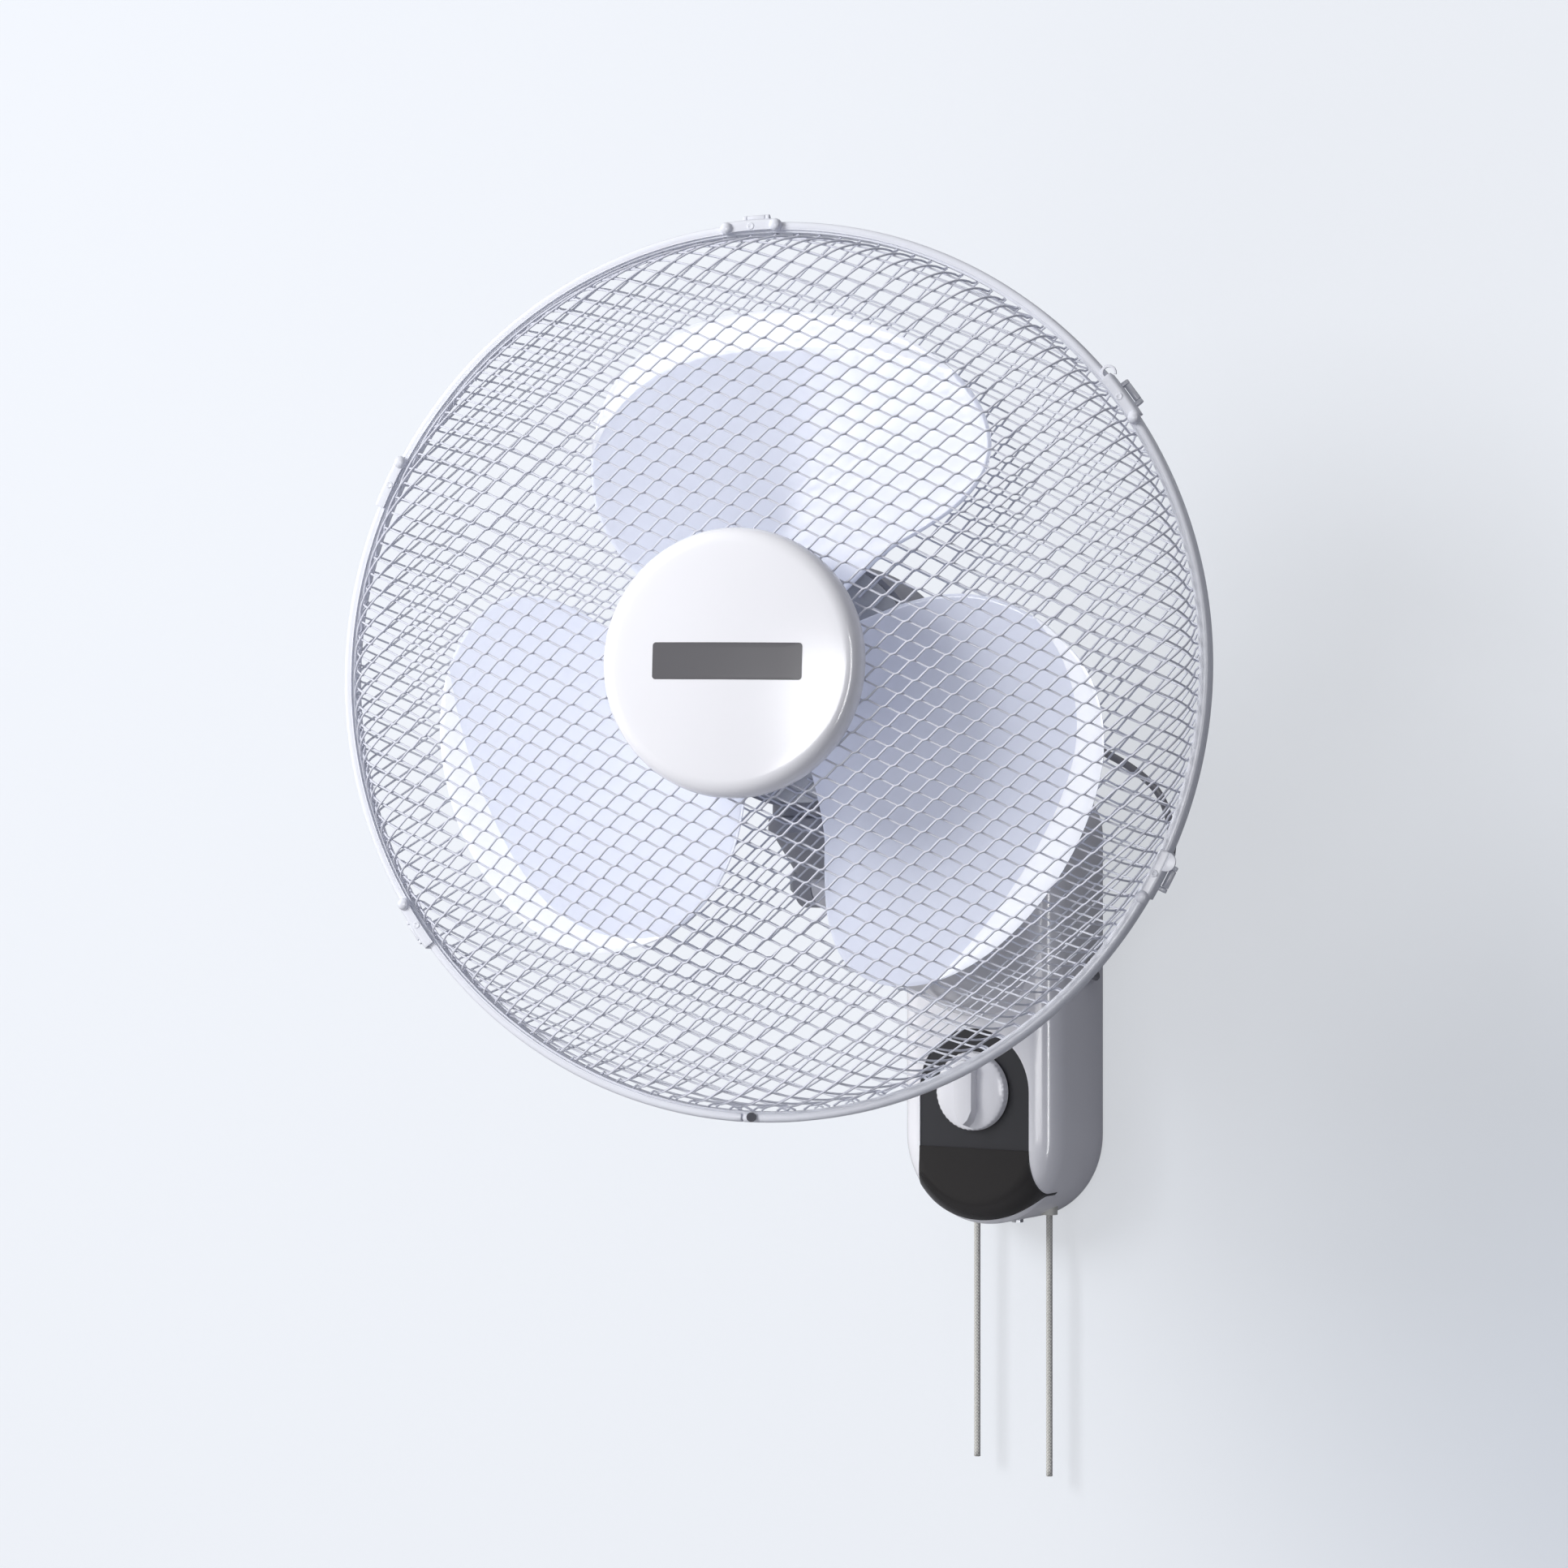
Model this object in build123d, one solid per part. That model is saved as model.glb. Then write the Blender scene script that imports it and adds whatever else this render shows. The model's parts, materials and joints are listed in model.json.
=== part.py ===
from build123d import *
import os
from math import cos, hypot, pi, radians, sin, sqrt, tan

# Wall fan with two pull cords, in millimetres.
# Origin: centre of the wall plate's back face. +X is to the right of a person who
# faces the fan, -Y points out of the wall, +Z is up. The pose is the one in which the
# fan stands: the head turned a little to +X and tipped a little up.

# ---------------------------------------------------------------- driving dimensions
# base on the wall
base_width = 96.0
base_height = 240.0
base_depth = 58.0
base_corner_radius = 30.0
base_edge_radius = 15.0
housing_wall = 3.2
housing_front_wall = 5.0
wall_plate_thickness = 2.0
wall_plate_gap = 0.3
wall_screw_spacing = 120.0
wall_screw_hole_radius = 2.75

# dark inlay of the base, in an upper and a lower piece
panel_width = 67.0
panel_thickness = 1.6
panel_sink = 0.8
panel_bulge = 0.6
panel_split_height = 42.0
panel_flare_width = 80.0
panel_flare_height = 12.0
panel_wrap = 25.0
panel_foot_rise = 2.8
panel_foot_radius = 54.0
panel_gap = 0.15

# timer knob
knob_height_on_base = 73.0
knob_radius = 21.5
knob_thickness = 13.0
knob_skirt = 4.5
knob_lever_width = 11.0
knob_gap = 0.8
timer_shaft_radius = 3.0
timer_size = 38.0
timer_depth = 20.0

# arm that carries the head
arm_root_width = 70.0
arm_root_height = 104.0
arm_root_level = 163.0
arm_tongue_width = 21.0
arm_wall = 3.5
shoulder_reach = 15.5

# tilt joint
tilt_axis_reach = 196.0
tilt_axis_level = 188.0
hinge_radius = 13.0
fork_width = 42.0
fork_gap = 0.3
tilt_bolt_radius = 4.0
rest_tilt = 2.64

# oscillation joint
pivot_forward = 28.0
pivot_up = 100.0
collar_radius = 23.0
collar_thickness = 8.0
collar_drop = 68.2
pin_radius = 5.0
pin_top = 50.0
pin_bottom = 84.0
rest_yaw = 15.6
running_clearance = 0.05

# motor
cover_radius = 64.0
cover_wall = 2.4
cover_front = 27.0
cover_straight_end = 40.0
cover_rear = 85.0
cover_rear_radius = 26.0
vent_count = 12
vent_width = 3.2
vent_length = 20.0
stator_radius = 45.0
stator_bore = 24.0
stator_front = 14.0
stator_rear = 22.0
winding_inner_radius = 28.0
winding_outer_radius = 41.0
winding_front_length = 7.0
winding_rear_length = 9.0
rotor_gap = 0.4
shaft_radius = 4.0
shaft_front = 106.0
bush_radius = 7.0
front_plate_thickness = 6.0
front_boss_radius = 15.0
front_boss_length = 16.0
rear_plate_front = 33.0
rear_plate_thickness = 6.0
rear_plate_radius = 55.0
tie_screw_circle = 50.0
tie_screw_radius = 2.0
tie_screw_count = 4

# small swing motor with its crank, behind the main motor
swing_motor_radius = 20.0
swing_motor_height = 18.0
swing_motor_offset = 61.0
swing_motor_top = 16.0
crank_radius = 12.0
crank_thickness = 4.0
crank_pin_offset = 8.0
crank_pin_radius = 2.0

# guard: rim plane, domes and mesh
rim_plane = 90.0
rim_radius = 218.0
rim_depth = 12.0
rim_lip = 4.6
rim_wall = 1.2
band_radial = 3.8
mesh_edge_gap = 1.2
wire_end_gap = 0.3
dome_flat_radius = 62.0
front_dome_height = 50.0
rear_dome_height = 55.6
dome_power = 0.75
mesh_pitch = 8.5
mesh_step = 3
mesh_wire = 1.5
mesh_layer_gap = 0.8
mesh_angle_rising = 41.0
mesh_angle_falling = -20.0
wire_sag = 0.9
grille_plate_thickness = 1.5
grille_plate_wire_overlap = 12.0
grille_nut_radius = 27.0
grille_nut_thickness = 7.5

# cap in the middle of the front guard
cap_radius = 64.0
cap_side = 3.0
cap_shoulder = 9.0
cap_crown_rise = 2.5
cap_wall = 2.4
cap_crown_flat = 6.0
cap_post_radius = 4.0
cap_back_radius = 44.0
cap_back_thickness = 2.0

# blade
blade_count = 3
blade_radius = 178.0
blade_middle_angle = -26.0
blade_half_span = 56.0
blade_outline = (
    (25.0, 0.34), (24.0, 0.47), (20.5, 0.60), (15.0, 0.71), (7.5, 0.825), (-2.0, 0.93),
    (-14.0, 0.985), (-30.0, 0.998), (-46.0, 0.993), (-59.0, 0.972), (-69.0, 0.918),
    (-75.5, 0.83), (-77.5, 0.70), (-75.5, 0.56), (-70.0, 0.42),
)
blade_crease = 0.86
blade_crease_turn = -0.0010
blade_lip_slope = 0.22
blade_front = 104.0
blade_rear = 66.0
blade_thickness = 2.2
blade_cup = 5.0
hub_radius = 31.0
hub_front = 98.0
hub_rear = 58.0
hub_wall = 2.6
hub_core_radius = 9.0
spinner_radius = 21.0
spinner_length = 13.0

# flip clips round the rim, and the screw that closes the rim
clip_angles = (37.0, 93.0, 155.0, 216.0, 334.0)
clip_length = 26.0
clip_wall = 1.8
clip_gap = 0.9
clip_hinge_radius = 2.6
clip_pin_radius = 1.2
clip_ear_thickness = 2.6
rim_screw_radius = 1.2
rim_screw_angle = 270.0
rim_strap_length = 24.0

# pull cords
cord_spacing = 45.0
cord_wall_distance = 14.0
cord_radius = 1.75
speed_cord_drop = 132.0
swing_cord_drop = 139.0
bush_top_level = 19.0
bush_outer_radius = 4.5
bush_bore_radius = 2.4
slider_radius = 3.0
pull_travel = 10.0
pull_end_gap = 1.0
pull_switch_width = 20.0
pull_switch_height = 26.0
pull_switch_level = 44.0

# cable from the head to the base
cable_radius = 2.0
relief_length = 14.0
relief_wide = 4.2
relief_tip = 2.8
relief_flange = 7.0
relief_flange_thickness = 1.8
relief_neck = 3.0
cable_exit_point = (55.5, 60.5, -20.0)
cable_exit_turn = 45.0
cable_entry_distance = 17.0
cable_entry_level = 137.0
cable_entry_lean = 45.0
cable_end_run = 20.0

# screw that holds the housing to the wall plate
base_screw_distance = 9.0

# ------------------------------------------------------------------- derived places
base_bottom = -base_height / 2
half_width = base_width / 2
front = -base_depth


def level(height_on_base):
    """World Z of a height counted from the base's bottom."""
    return base_bottom + height_on_base


knob_z = level(knob_height_on_base)
cable_entry = (half_width, -cable_entry_distance, level(cable_entry_level))
cable_upper_route = (
    (80.0, -106.5, level(263)),
    (101.0, -104.0, level(256)),
    (120.0, -99.0, level(245)),
    (132.3, -92.5, level(231)),
)
cable_split = (131.25, -84.4, level(216.4))
cable_lower_route = (
    (130.2, -76.3, level(201.8)),
    (114.5, -67.0, level(190)),
    (100.0, -52.0, level(180)),
    (86.0, -35.0, level(170)),
)
mesh_half = (mesh_layer_gap + mesh_wire) / 2
mesh_reach = mesh_half + mesh_wire / 2
rim_inner = rim_radius - rim_lip
mesh_edge = rim_inner - mesh_reach - mesh_edge_gap
slider_low_level = bush_top_level + pull_travel + pull_end_gap
band_outer = rim_radius - rim_wall - 0.2
band_inner = band_outer - band_radial
band_gap = 0.2
band_middle = (rim_depth / 2 - rim_wall) / 2
front_mesh_centre = rim_plane + front_dome_height
rear_mesh_centre = rim_plane - rear_dome_height
plate_front = rear_mesh_centre - mesh_reach
plate_rear = plate_front - grille_plate_thickness
cap_back = front_mesh_centre + mesh_reach
cover_inner = cover_radius - cover_wall

knuckle_place = Pos(0, -tilt_axis_reach, level(tilt_axis_level)) * Rot(X=-rest_tilt)
pivot_place = knuckle_place * Pos(0, -pivot_forward, pivot_up)
head_place = pivot_place * Rot(Z=rest_yaw)

nodes = {}


# --------------------------------------------------------------------- small helpers
def ring_y(outer, inner, start, end):
    """Ring about the motor axis, from start to end in front of the pivot."""
    ring = Cylinder(outer, end - start)
    if inner:
        ring -= Cylinder(inner, end - start)
    return Pos(0, -(start + end) / 2, 0) * Rot(X=90) * ring


def post_z(radius, low, high, x=0.0, y=0.0):
    """Upright cylinder between two heights."""
    return Pos(x, y, (low + high) / 2) * Cylinder(radius, high - low)


def rod_x(radius, start, end, y=0.0, z=0.0):
    """Cylinder along X between two places."""
    return Pos((start + end) / 2, y, z) * Rot(Y=90) * Cylinder(radius, end - start)


def rod_y(radius, start, end, x=0.0, z=0.0):
    """Cylinder along Y between two places."""
    return Pos(x, (start + end) / 2, z) * Rot(X=90) * Cylinder(radius, abs(end - start))


def block(x0, x1, y0, y1, z0, z1):
    """Box between two corners."""
    centre = Pos((x0 + x1) / 2, (y0 + y1) / 2, (z0 + z1) / 2)
    return centre * Box(abs(x1 - x0), abs(y1 - y0), abs(z1 - z0))


def turned(profile):
    """Solid turned about the motor axis from points (radius, distance in front)."""
    face = make_face(Polyline([(r, -d) for r, d in profile], close=True))
    return revolve(face, Axis.Y, 360)


# ------------------------------------------------------------------------------ base
def tongue_face(inset):
    """Front outline of the base: half round below, rounded corners above."""
    r = half_width - inset
    low = base_bottom + inset
    high = base_bottom + base_height - inset
    straight = high - low - r
    outline = Pos(0, low + r) * Circle(r)
    outline += Pos(0, high - straight / 2) * Rectangle(2 * r, straight)
    corners = outline.vertices().sort_by(Axis.Y)[-2:]
    return fillet(corners, base_corner_radius - inset)


def tongue(inset, front_inset, edge_radius):
    """Body of the base, inset all round and at its front."""
    solid = extrude(Plane.XZ * tongue_face(inset), amount=base_depth - front_inset)
    rim = solid.faces().sort_by(Axis.Y)[0].edges()
    return fillet(rim, edge_radius)


def arm_solid(inset):
    """Arm that sweeps up and out of the base, through upright rounded sections."""
    shoulder = tilt_axis_reach - shoulder_reach
    top = arm_root_level + arm_root_height / 2
    stations = (
        (base_depth - base_edge_radius, arm_root_width, arm_root_level, arm_root_height),
        (base_depth + 12, arm_root_width - 4, arm_root_level + 1, arm_root_height - 8),
        (base_depth + 52, 0.74 * arm_root_width, top - 46, 80.0),
        (base_depth + 92, 0.58 * arm_root_width, top - 39, 56.0),
        (shoulder, 0.5 * arm_root_width, tilt_axis_level - 1, 2.6 * hinge_radius),
    )
    sections = []
    for reach, width, mid, height in stations:
        w = width - 2 * inset
        h = height - 2 * inset
        end = reach - inset if reach == shoulder else reach
        plane = Plane.XZ.offset(end)
        corner = 0.46 * min(w, h)
        sections.append(plane * Pos(0, level(mid)) * RectangleRounded(w, h, corner))
    return loft(sections)


def arm_tongue():
    """Flat eye at the end of the arm, which the knuckle's fork straddles."""
    y = -tilt_axis_reach
    z = level(tilt_axis_level)
    half = arm_tongue_width / 2
    eye = rod_x(hinge_radius - 0.5, -half, half, y, z)
    root = y + shoulder_reach + 6
    return eye + block(-half, half, y, root, z - hinge_radius + 0.5, z + hinge_radius - 0.5)


def panel_outline(grow):
    """Front view of the inlay: arch round the knob, straight sides, flared foot."""
    half = panel_width / 2 + grow
    split = level(panel_split_height)
    foot = level(panel_flare_height)
    wide = panel_flare_width / 2 + grow
    arch = Pos(0, knob_z) * Circle(half)
    arch += Pos(0, (knob_z + split) / 2) * Rectangle(2 * half, knob_z - split)
    right = TangentArc([(half, split), (wide, foot)], tangent=(0, -1))
    left = TangentArc([(-half, split), (-wide, foot)], tangent=(0, -1))
    low = base_bottom - 5
    rest = Polyline([(wide, foot), (wide, low), (-wide, low), (-wide, foot)])
    skirt = make_face([right, left, rest, Line((half, split), (-half, split))])
    foot_middle = base_bottom + panel_foot_rise + panel_foot_radius
    skirt &= Pos(0, foot_middle) * Circle(panel_foot_radius + grow)
    return arch, skirt


def build_base():
    """Housing with its arm, both inlay pieces, the wall plate and its screw."""
    arch, skirt = panel_outline(panel_gap)
    arch_in, skirt_in = panel_outline(0)
    inner_skin = tongue(panel_thickness, panel_thickness, base_edge_radius - panel_thickness)
    skirt_zone = Pos(0, front + panel_wrap, 0) * extrude(Plane.XZ * skirt, amount=base_depth)
    arch_zone = Pos(0, front + panel_thickness + panel_sink, 0)
    arch_zone *= extrude(Plane.XZ * arch, amount=base_depth)

    housing = tongue(0, 0, base_edge_radius) + arm_solid(0) + arm_tongue()
    housing -= tongue(housing_wall, housing_front_wall, base_edge_radius - housing_wall)
    hollow = arm_solid(arm_wall)
    housing -= hollow
    housing -= skirt_zone - inner_skin
    housing -= arch_zone
    housing -= rod_y(timer_shaft_radius + 0.3, 0, front - 5, 0, knob_z)
    bolt_y = -tilt_axis_reach
    housing -= rod_x(tilt_bolt_radius, -fork_width, fork_width, bolt_y, level(tilt_axis_level))
    for side in (-1, 1):
        x = side * cord_spacing / 2
        housing -= post_z(bush_outer_radius, base_bottom - 5, level(bush_top_level + 1), x,
                          -cord_wall_distance)
    housing -= post_z(2.2, base_bottom - 5, level(10), 0, -base_screw_distance)
    housing -= rod_x(relief_neck, 0, half_width + 5, cable_entry[1], cable_entry[2])
    nodes["base_housing"] = housing

    upper = extrude(Plane.XZ * arch_in, amount=panel_thickness)
    upper = Pos(0, front + panel_thickness + panel_sink, 0) * upper
    lower_zone = Pos(0, front + panel_wrap, 0) * extrude(Plane.XZ * skirt_in, amount=base_depth)
    upper -= extrude(Plane.XZ * skirt, amount=base_depth + 10)
    upper -= rod_y(timer_shaft_radius + 0.3, 0, front - 5, 0, knob_z)
    nodes["panel_upper"] = upper
    bulged = tongue(-panel_bulge, -panel_bulge, base_edge_radius + panel_bulge)
    nodes["panel_lower"] = (bulged & lower_zone) - inner_skin

    plate_face = tongue_face(housing_wall + wall_plate_gap)
    plate = extrude(Plane.XZ * plate_face, amount=wall_plate_thickness)
    for side in (-1, 1):
        z = side * wall_screw_spacing / 2
        plate -= rod_y(wall_screw_hole_radius, 1, -wall_plate_thickness - 1, 0, z)
    tab_low = level(housing_wall + 0.9)
    tab = block(-7, 7, -wall_plate_thickness, -base_screw_distance - 6, tab_low, tab_low + 5)
    tab -= post_z(1.6, tab_low - 1, tab_low + 6, 0, -base_screw_distance)
    hook = block(-12, 12, -wall_plate_thickness, -9, level(226), level(229))
    nodes["wall_plate"] = plate + tab + hook

    screw = post_z(1.6, base_bottom, tab_low + 5, 0, -base_screw_distance)
    screw += post_z(3.2, base_bottom - 2.2, base_bottom, 0, -base_screw_distance)
    nodes["base_screw"] = screw


def build_knob():
    """Timer behind the panel, its shaft and the knob with its lever ridge."""
    rear = front + housing_front_wall
    half = timer_size / 2
    timer = block(-half, half, rear, rear + timer_depth, knob_z - half, knob_z + half)
    bore_depth = 10.0
    bore_radius = timer_shaft_radius + running_clearance
    timer -= rod_y(bore_radius, rear, rear + bore_depth, 0, knob_z)
    nodes["timer_body"] = timer

    seat = front + panel_sink - knob_gap
    tip = seat - knob_thickness
    shaft_tip = tip + 4
    shaft = rod_y(timer_shaft_radius, rear + bore_depth - 0.3, shaft_tip, 0, knob_z)
    nodes["timer_shaft"] = shaft

    dish_top = -seat + knob_skirt + 3.0
    outline = make_face(
        [
            Line((0, seat), (knob_radius, seat)),
            Line((knob_radius, seat), (knob_radius - 0.6, seat - knob_skirt)),
            ThreePointArc(
                (knob_radius - 0.6, seat - knob_skirt),
                (0.72 * knob_radius, -dish_top + 0.6),
                (0, -dish_top),
            ),
            Line((0, -dish_top), (0, seat)),
        ]
    )
    dish = revolve(outline, Axis.Y, 360)
    reach = knob_radius - 0.8
    half_lever = knob_lever_width / 2
    lever_face = make_face(
        Polyline(
            [
                (-half_lever, reach - 3),
                (0, reach),
                (half_lever, reach - 3),
                (half_lever, -reach + 9),
                (0, -reach),
                (-half_lever, -reach + 9),
            ],
            close=True,
        )
    )
    lever = extrude(Plane.XZ.offset(-seat + 1) * lever_face, amount=knob_thickness - 1, taper=6)
    ball = Pos(0, tip + 30, 0) * Sphere(30)
    knob = Pos(0, 0, knob_z) * (dish + (lever & ball))
    knob -= rod_y(timer_shaft_radius, seat + 1, shaft_tip, 0, knob_z)
    nodes["timer_knob"] = knob


def build_pull(name, side, drop):
    """Pull switch, its sliding rod, the cord on the rod and the bush it runs through."""
    x = side * cord_spacing / 2
    y = -cord_wall_distance
    half = pull_switch_width / 2
    low = level(pull_switch_level)
    top = low + pull_switch_height
    rear = -wall_plate_thickness
    switch = block(x - half, x + half, rear, y - 9, low, top)
    switch -= post_z(slider_radius + 0.3, low - 1, top - 2, x, y)
    nodes[name + "_switch"] = switch

    rod_low = level(slider_low_level)
    rod_top = top - 2 - 0.4
    rod = post_z(slider_radius, rod_low + 4, rod_top, x, y)
    rod += post_z(slider_radius + 1.2, rod_low, rod_low + 4, x, y)
    nodes[name + "_slider"] = rod

    cord = post_z(cord_radius, base_bottom - drop, rod_low, x, y)
    nodes[name + "_cord"] = cord

    skin = base_bottom + half_width - sqrt(half_width**2 - (abs(x) - 3) ** 2)
    bush = post_z(bush_outer_radius, skin - 0.5, level(bush_top_level), x, y)
    bush -= post_z(bush_bore_radius, skin - 1, level(bush_top_level + 1), x, y)
    nodes[name + "_bush"] = bush


# --------------------------------------------------------------------------- knuckle
def build_knuckle():
    """Fork on the arm's eye, with the collar that the head turns on, and its bolt."""
    collar_top = pivot_up - collar_drop
    collar_low = collar_top - collar_thickness
    collar = post_z(collar_radius, collar_low, collar_top, 0, -pivot_forward)
    collar = fillet(collar.faces().sort_by(Axis.Z)[-1].edges(), 1.5)
    top = Plane.XY.offset(collar_low) * Pos(0, -pivot_forward) * Circle(fork_width / 2)
    low_face = RectangleRounded(fork_width, 1.9 * hinge_radius, 0.8 * hinge_radius)
    low = Plane.XY * low_face
    neck = loft([low, top])
    half = fork_width / 2
    cheeks = rod_x(hinge_radius, -half, half)
    body = collar + neck + cheeks
    slot = arm_tongue_width / 2 + fork_gap
    depth = hinge_radius + 1.5
    body -= rod_x(depth, -slot, slot)
    body -= block(-slot, slot, -3 * depth, 3 * depth, -3 * depth, 0)
    body -= block(-slot, slot, 0, 3 * depth, -1, depth)
    body -= rod_x(tilt_bolt_radius + running_clearance, -fork_width, fork_width)
    bore = pin_radius + running_clearance
    bore_low = pivot_up - pin_bottom - 1
    body -= post_z(bore, bore_low, collar_top + 1, 0, -pivot_forward)
    nodes["tilt_knuckle"] = knuckle_place * body

    y = -tilt_axis_reach
    z = level(tilt_axis_level)
    washer = 1.2
    bolt = rod_x(tilt_bolt_radius, -half - washer, half + washer + 7, y, z)
    head_start = -half - washer - 4.5
    bolt += Pos((head_start * 2 + 4.5) / 2, y, z) * Rot(Y=90) * extrude_hex(13, 4.5)
    nodes["tilt_bolt"] = bolt
    washers = []
    for side in (-1, 1):
        place = side * (half + washer / 2)
        disc = rod_x(8.5, place - washer / 2 + 0.02, place + washer / 2 - 0.02, y, z)
        washers.append(disc - rod_x(tilt_bolt_radius, place - 2, place + 2, y, z))
    nodes["tilt_washers"] = washers
    wing = rod_x(7, half + washer, half + washer + 6, y, z)
    wing += block(half + washer + 1, half + washer + 5, y - 15, y + 15, z - 2.5, z + 2.5)
    wing -= rod_x(tilt_bolt_radius, half, half + washer + 8, y, z)
    nodes["tilt_wing_nut"] = wing


def extrude_hex(across, length):
    """Hexagonal prism about Z, centred."""
    face = RegularPolygon(across / 2, 6, major_radius=False)
    return Pos(0, 0, -length / 2) * extrude(face, amount=length)


# ----------------------------------------------------------------------------- motor
def bell(inset):
    """Turned outline of the motor cover, closed to its axis."""
    r = cover_radius - inset
    rear = cover_rear - inset
    mid_r = cover_rear_radius + 0.72 * (r - cover_rear_radius)
    mid_y = cover_straight_end + 0.70 * (rear - cover_straight_end)
    lines = [
        Line((0, -cover_front), (r, -cover_front)),
        Line((r, -cover_front), (r, cover_straight_end)),
        ThreePointArc((r, cover_straight_end), (mid_r, mid_y), (cover_rear_radius, rear)),
        Line((cover_rear_radius, rear), (0, rear)),
        Line((0, rear), (0, -cover_front)),
    ]
    return revolve(make_face(lines), Axis.Y, 360)


def build_motor():
    """Covers, stator, windings, rotor, shaft, bushes, end plates and tie screws."""
    boss_low = -collar_drop + 0.3
    boss_radius = collar_radius - 2
    cover = bell(0) + post_z(boss_radius, boss_low, -cover_inner + 4)
    cover -= bell(cover_wall)
    cover -= ring_y(cover_inner, 0, cover_front - 1, cover_front + 1)
    cover -= post_z(pin_radius + 0.3, boss_low - 1, -cover_inner + 6)
    slot_centre = 0.62 * cover_radius
    for k in range(vent_count):
        slot = Box(vent_length, 60, vent_width)
        place = Rot(Y=(k + 0.5) * 360 / vent_count) * Pos(slot_centre, cover_rear - 8, 0)
        cover -= place * slot
    cover -= cable_exit() * Cylinder(relief_neck, 30)
    nodes["motor_cover"] = head_place * cover

    plate_back = -plate_rear + front_plate_thickness
    face = -plate_rear
    plate = ring_y(cover_inner, 0, -plate_back, -face)
    plate += ring_y(front_boss_radius, 0, -face, -face + front_boss_length)
    bush_front = -plate_back + 1
    plate -= ring_y(bush_radius, 0, -plate_back, -face + front_boss_length)
    nodes["motor_front_plate"] = head_place * plate

    core = ring_y(stator_radius, stator_bore, -stator_rear, stator_front)
    nodes["stator_core"] = head_place * core
    front_coil = ring_y(winding_outer_radius, winding_inner_radius, stator_front,
                        stator_front + winding_front_length)
    rear_coil = ring_y(winding_outer_radius, winding_inner_radius,
                       -stator_rear - winding_rear_length, -stator_rear)
    nodes["stator_windings"] = [head_place * front_coil, head_place * rear_coil]

    back = ring_y(rear_plate_radius, bush_radius, -rear_plate_front - rear_plate_thickness,
                  -rear_plate_front)
    shelf_back = swing_motor_offset + swing_motor_radius - 6
    back += block(-15, 15, rear_plate_front + 1, shelf_back, -swing_motor_top,
                  -swing_motor_top + 2)
    nodes["motor_rear_plate"] = head_place * back

    bush_z = shaft_radius + running_clearance
    front_bush = ring_y(bush_radius, bush_z, -face, -face + front_boss_length)
    rear_bush = ring_y(bush_radius, bush_z, -rear_plate_front - rear_plate_thickness - 2,
                       -rear_plate_front)
    nodes["front_bush"] = head_place * front_bush
    nodes["rear_bush"] = head_place * rear_bush

    screws = []
    for k in range(tie_screw_count):
        turn = Rot(Y=45 + k * 360 / tie_screw_count)
        rear_end = rear_plate_front + rear_plate_thickness
        shank = ring_y(tie_screw_radius, 0, -rear_end, -plate_back)
        head = ring_y(2 * tie_screw_radius, 0, -rear_end - 3, -rear_end)
        screws.append(head_place * turn * Pos(tie_screw_circle, 0, 0) * (shank + head))
    nodes["tie_screws"] = screws
    for screw in screws:
        nodes["motor_rear_plate"] -= screw

    bracket = block(-12, 12, -12, 12, -cover_inner + 2.2, -stator_radius + 6)
    bracket -= ring_y(stator_radius, 0, -20, 20)
    bracket -= post_z(pin_radius, -pin_bottom, -pin_top)
    nodes["swivel_bracket"] = head_place * bracket
    pin = post_z(pin_radius, -pin_bottom, -pin_top)
    nodes["swivel_pin"] = head_place * pin

    can = post_z(swing_motor_radius, -swing_motor_top - swing_motor_height, -swing_motor_top,
                 0, swing_motor_offset)
    can -= post_z(2.5 + running_clearance, -swing_motor_top - swing_motor_height,
                  -swing_motor_top - swing_motor_height + 8, 0, swing_motor_offset)
    nodes["swing_motor"] = head_place * can
    disc_top = -swing_motor_top - swing_motor_height - 0.5
    disc_low = disc_top - crank_thickness
    crank = post_z(crank_radius, disc_low, disc_top, 0, swing_motor_offset)
    crank += post_z(2.5, disc_top, disc_top + 7, 0, swing_motor_offset)
    crank += post_z(crank_pin_radius, disc_low - 4, disc_low, crank_pin_offset,
                    swing_motor_offset)
    nodes["swing_crank"] = head_place * crank


def cable_exit():
    """Place of the cable's way out of the cover, in the head's own frame."""
    return Pos(*cable_exit_point) * Rot(Y=90) * Rot(X=-cable_exit_turn)


# ----------------------------------------------------------------------------- rotor
def blade_section(angle):
    """Radial section of the blade's sheet at an angle, with its cup and its bent lip."""
    mid = (blade_front + blade_rear) / 2
    u = (angle - blade_middle_angle) / blade_half_span
    centre = -(mid + u * (blade_front - blade_rear) / 2)
    root = hub_radius - 2 * hub_wall
    reach = 1.04 * blade_radius
    crease = blade_radius * (blade_crease + blade_crease_turn * angle)
    half = blade_thickness / 2
    middle = (root + crease) / 2
    lip = blade_lip_slope * (reach - crease)
    outline = []
    for side in (-1, 1):
        level_in = centre + side * half
        arc = ThreePointArc((root, level_in), (middle, level_in + blade_cup / 4),
                            (crease, level_in - blade_cup / 5))
        bent = Line((crease, level_in - blade_cup / 5), (reach, level_in - blade_cup / 5 - lip))
        outline += [arc, bent]
    tip_line = Line(outline[1] @ 1, outline[3] @ 1)
    root_line = Line(outline[0] @ 0, outline[2] @ 0)
    return Rot(Y=-angle) * make_face(outline + [tip_line, root_line])


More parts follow.
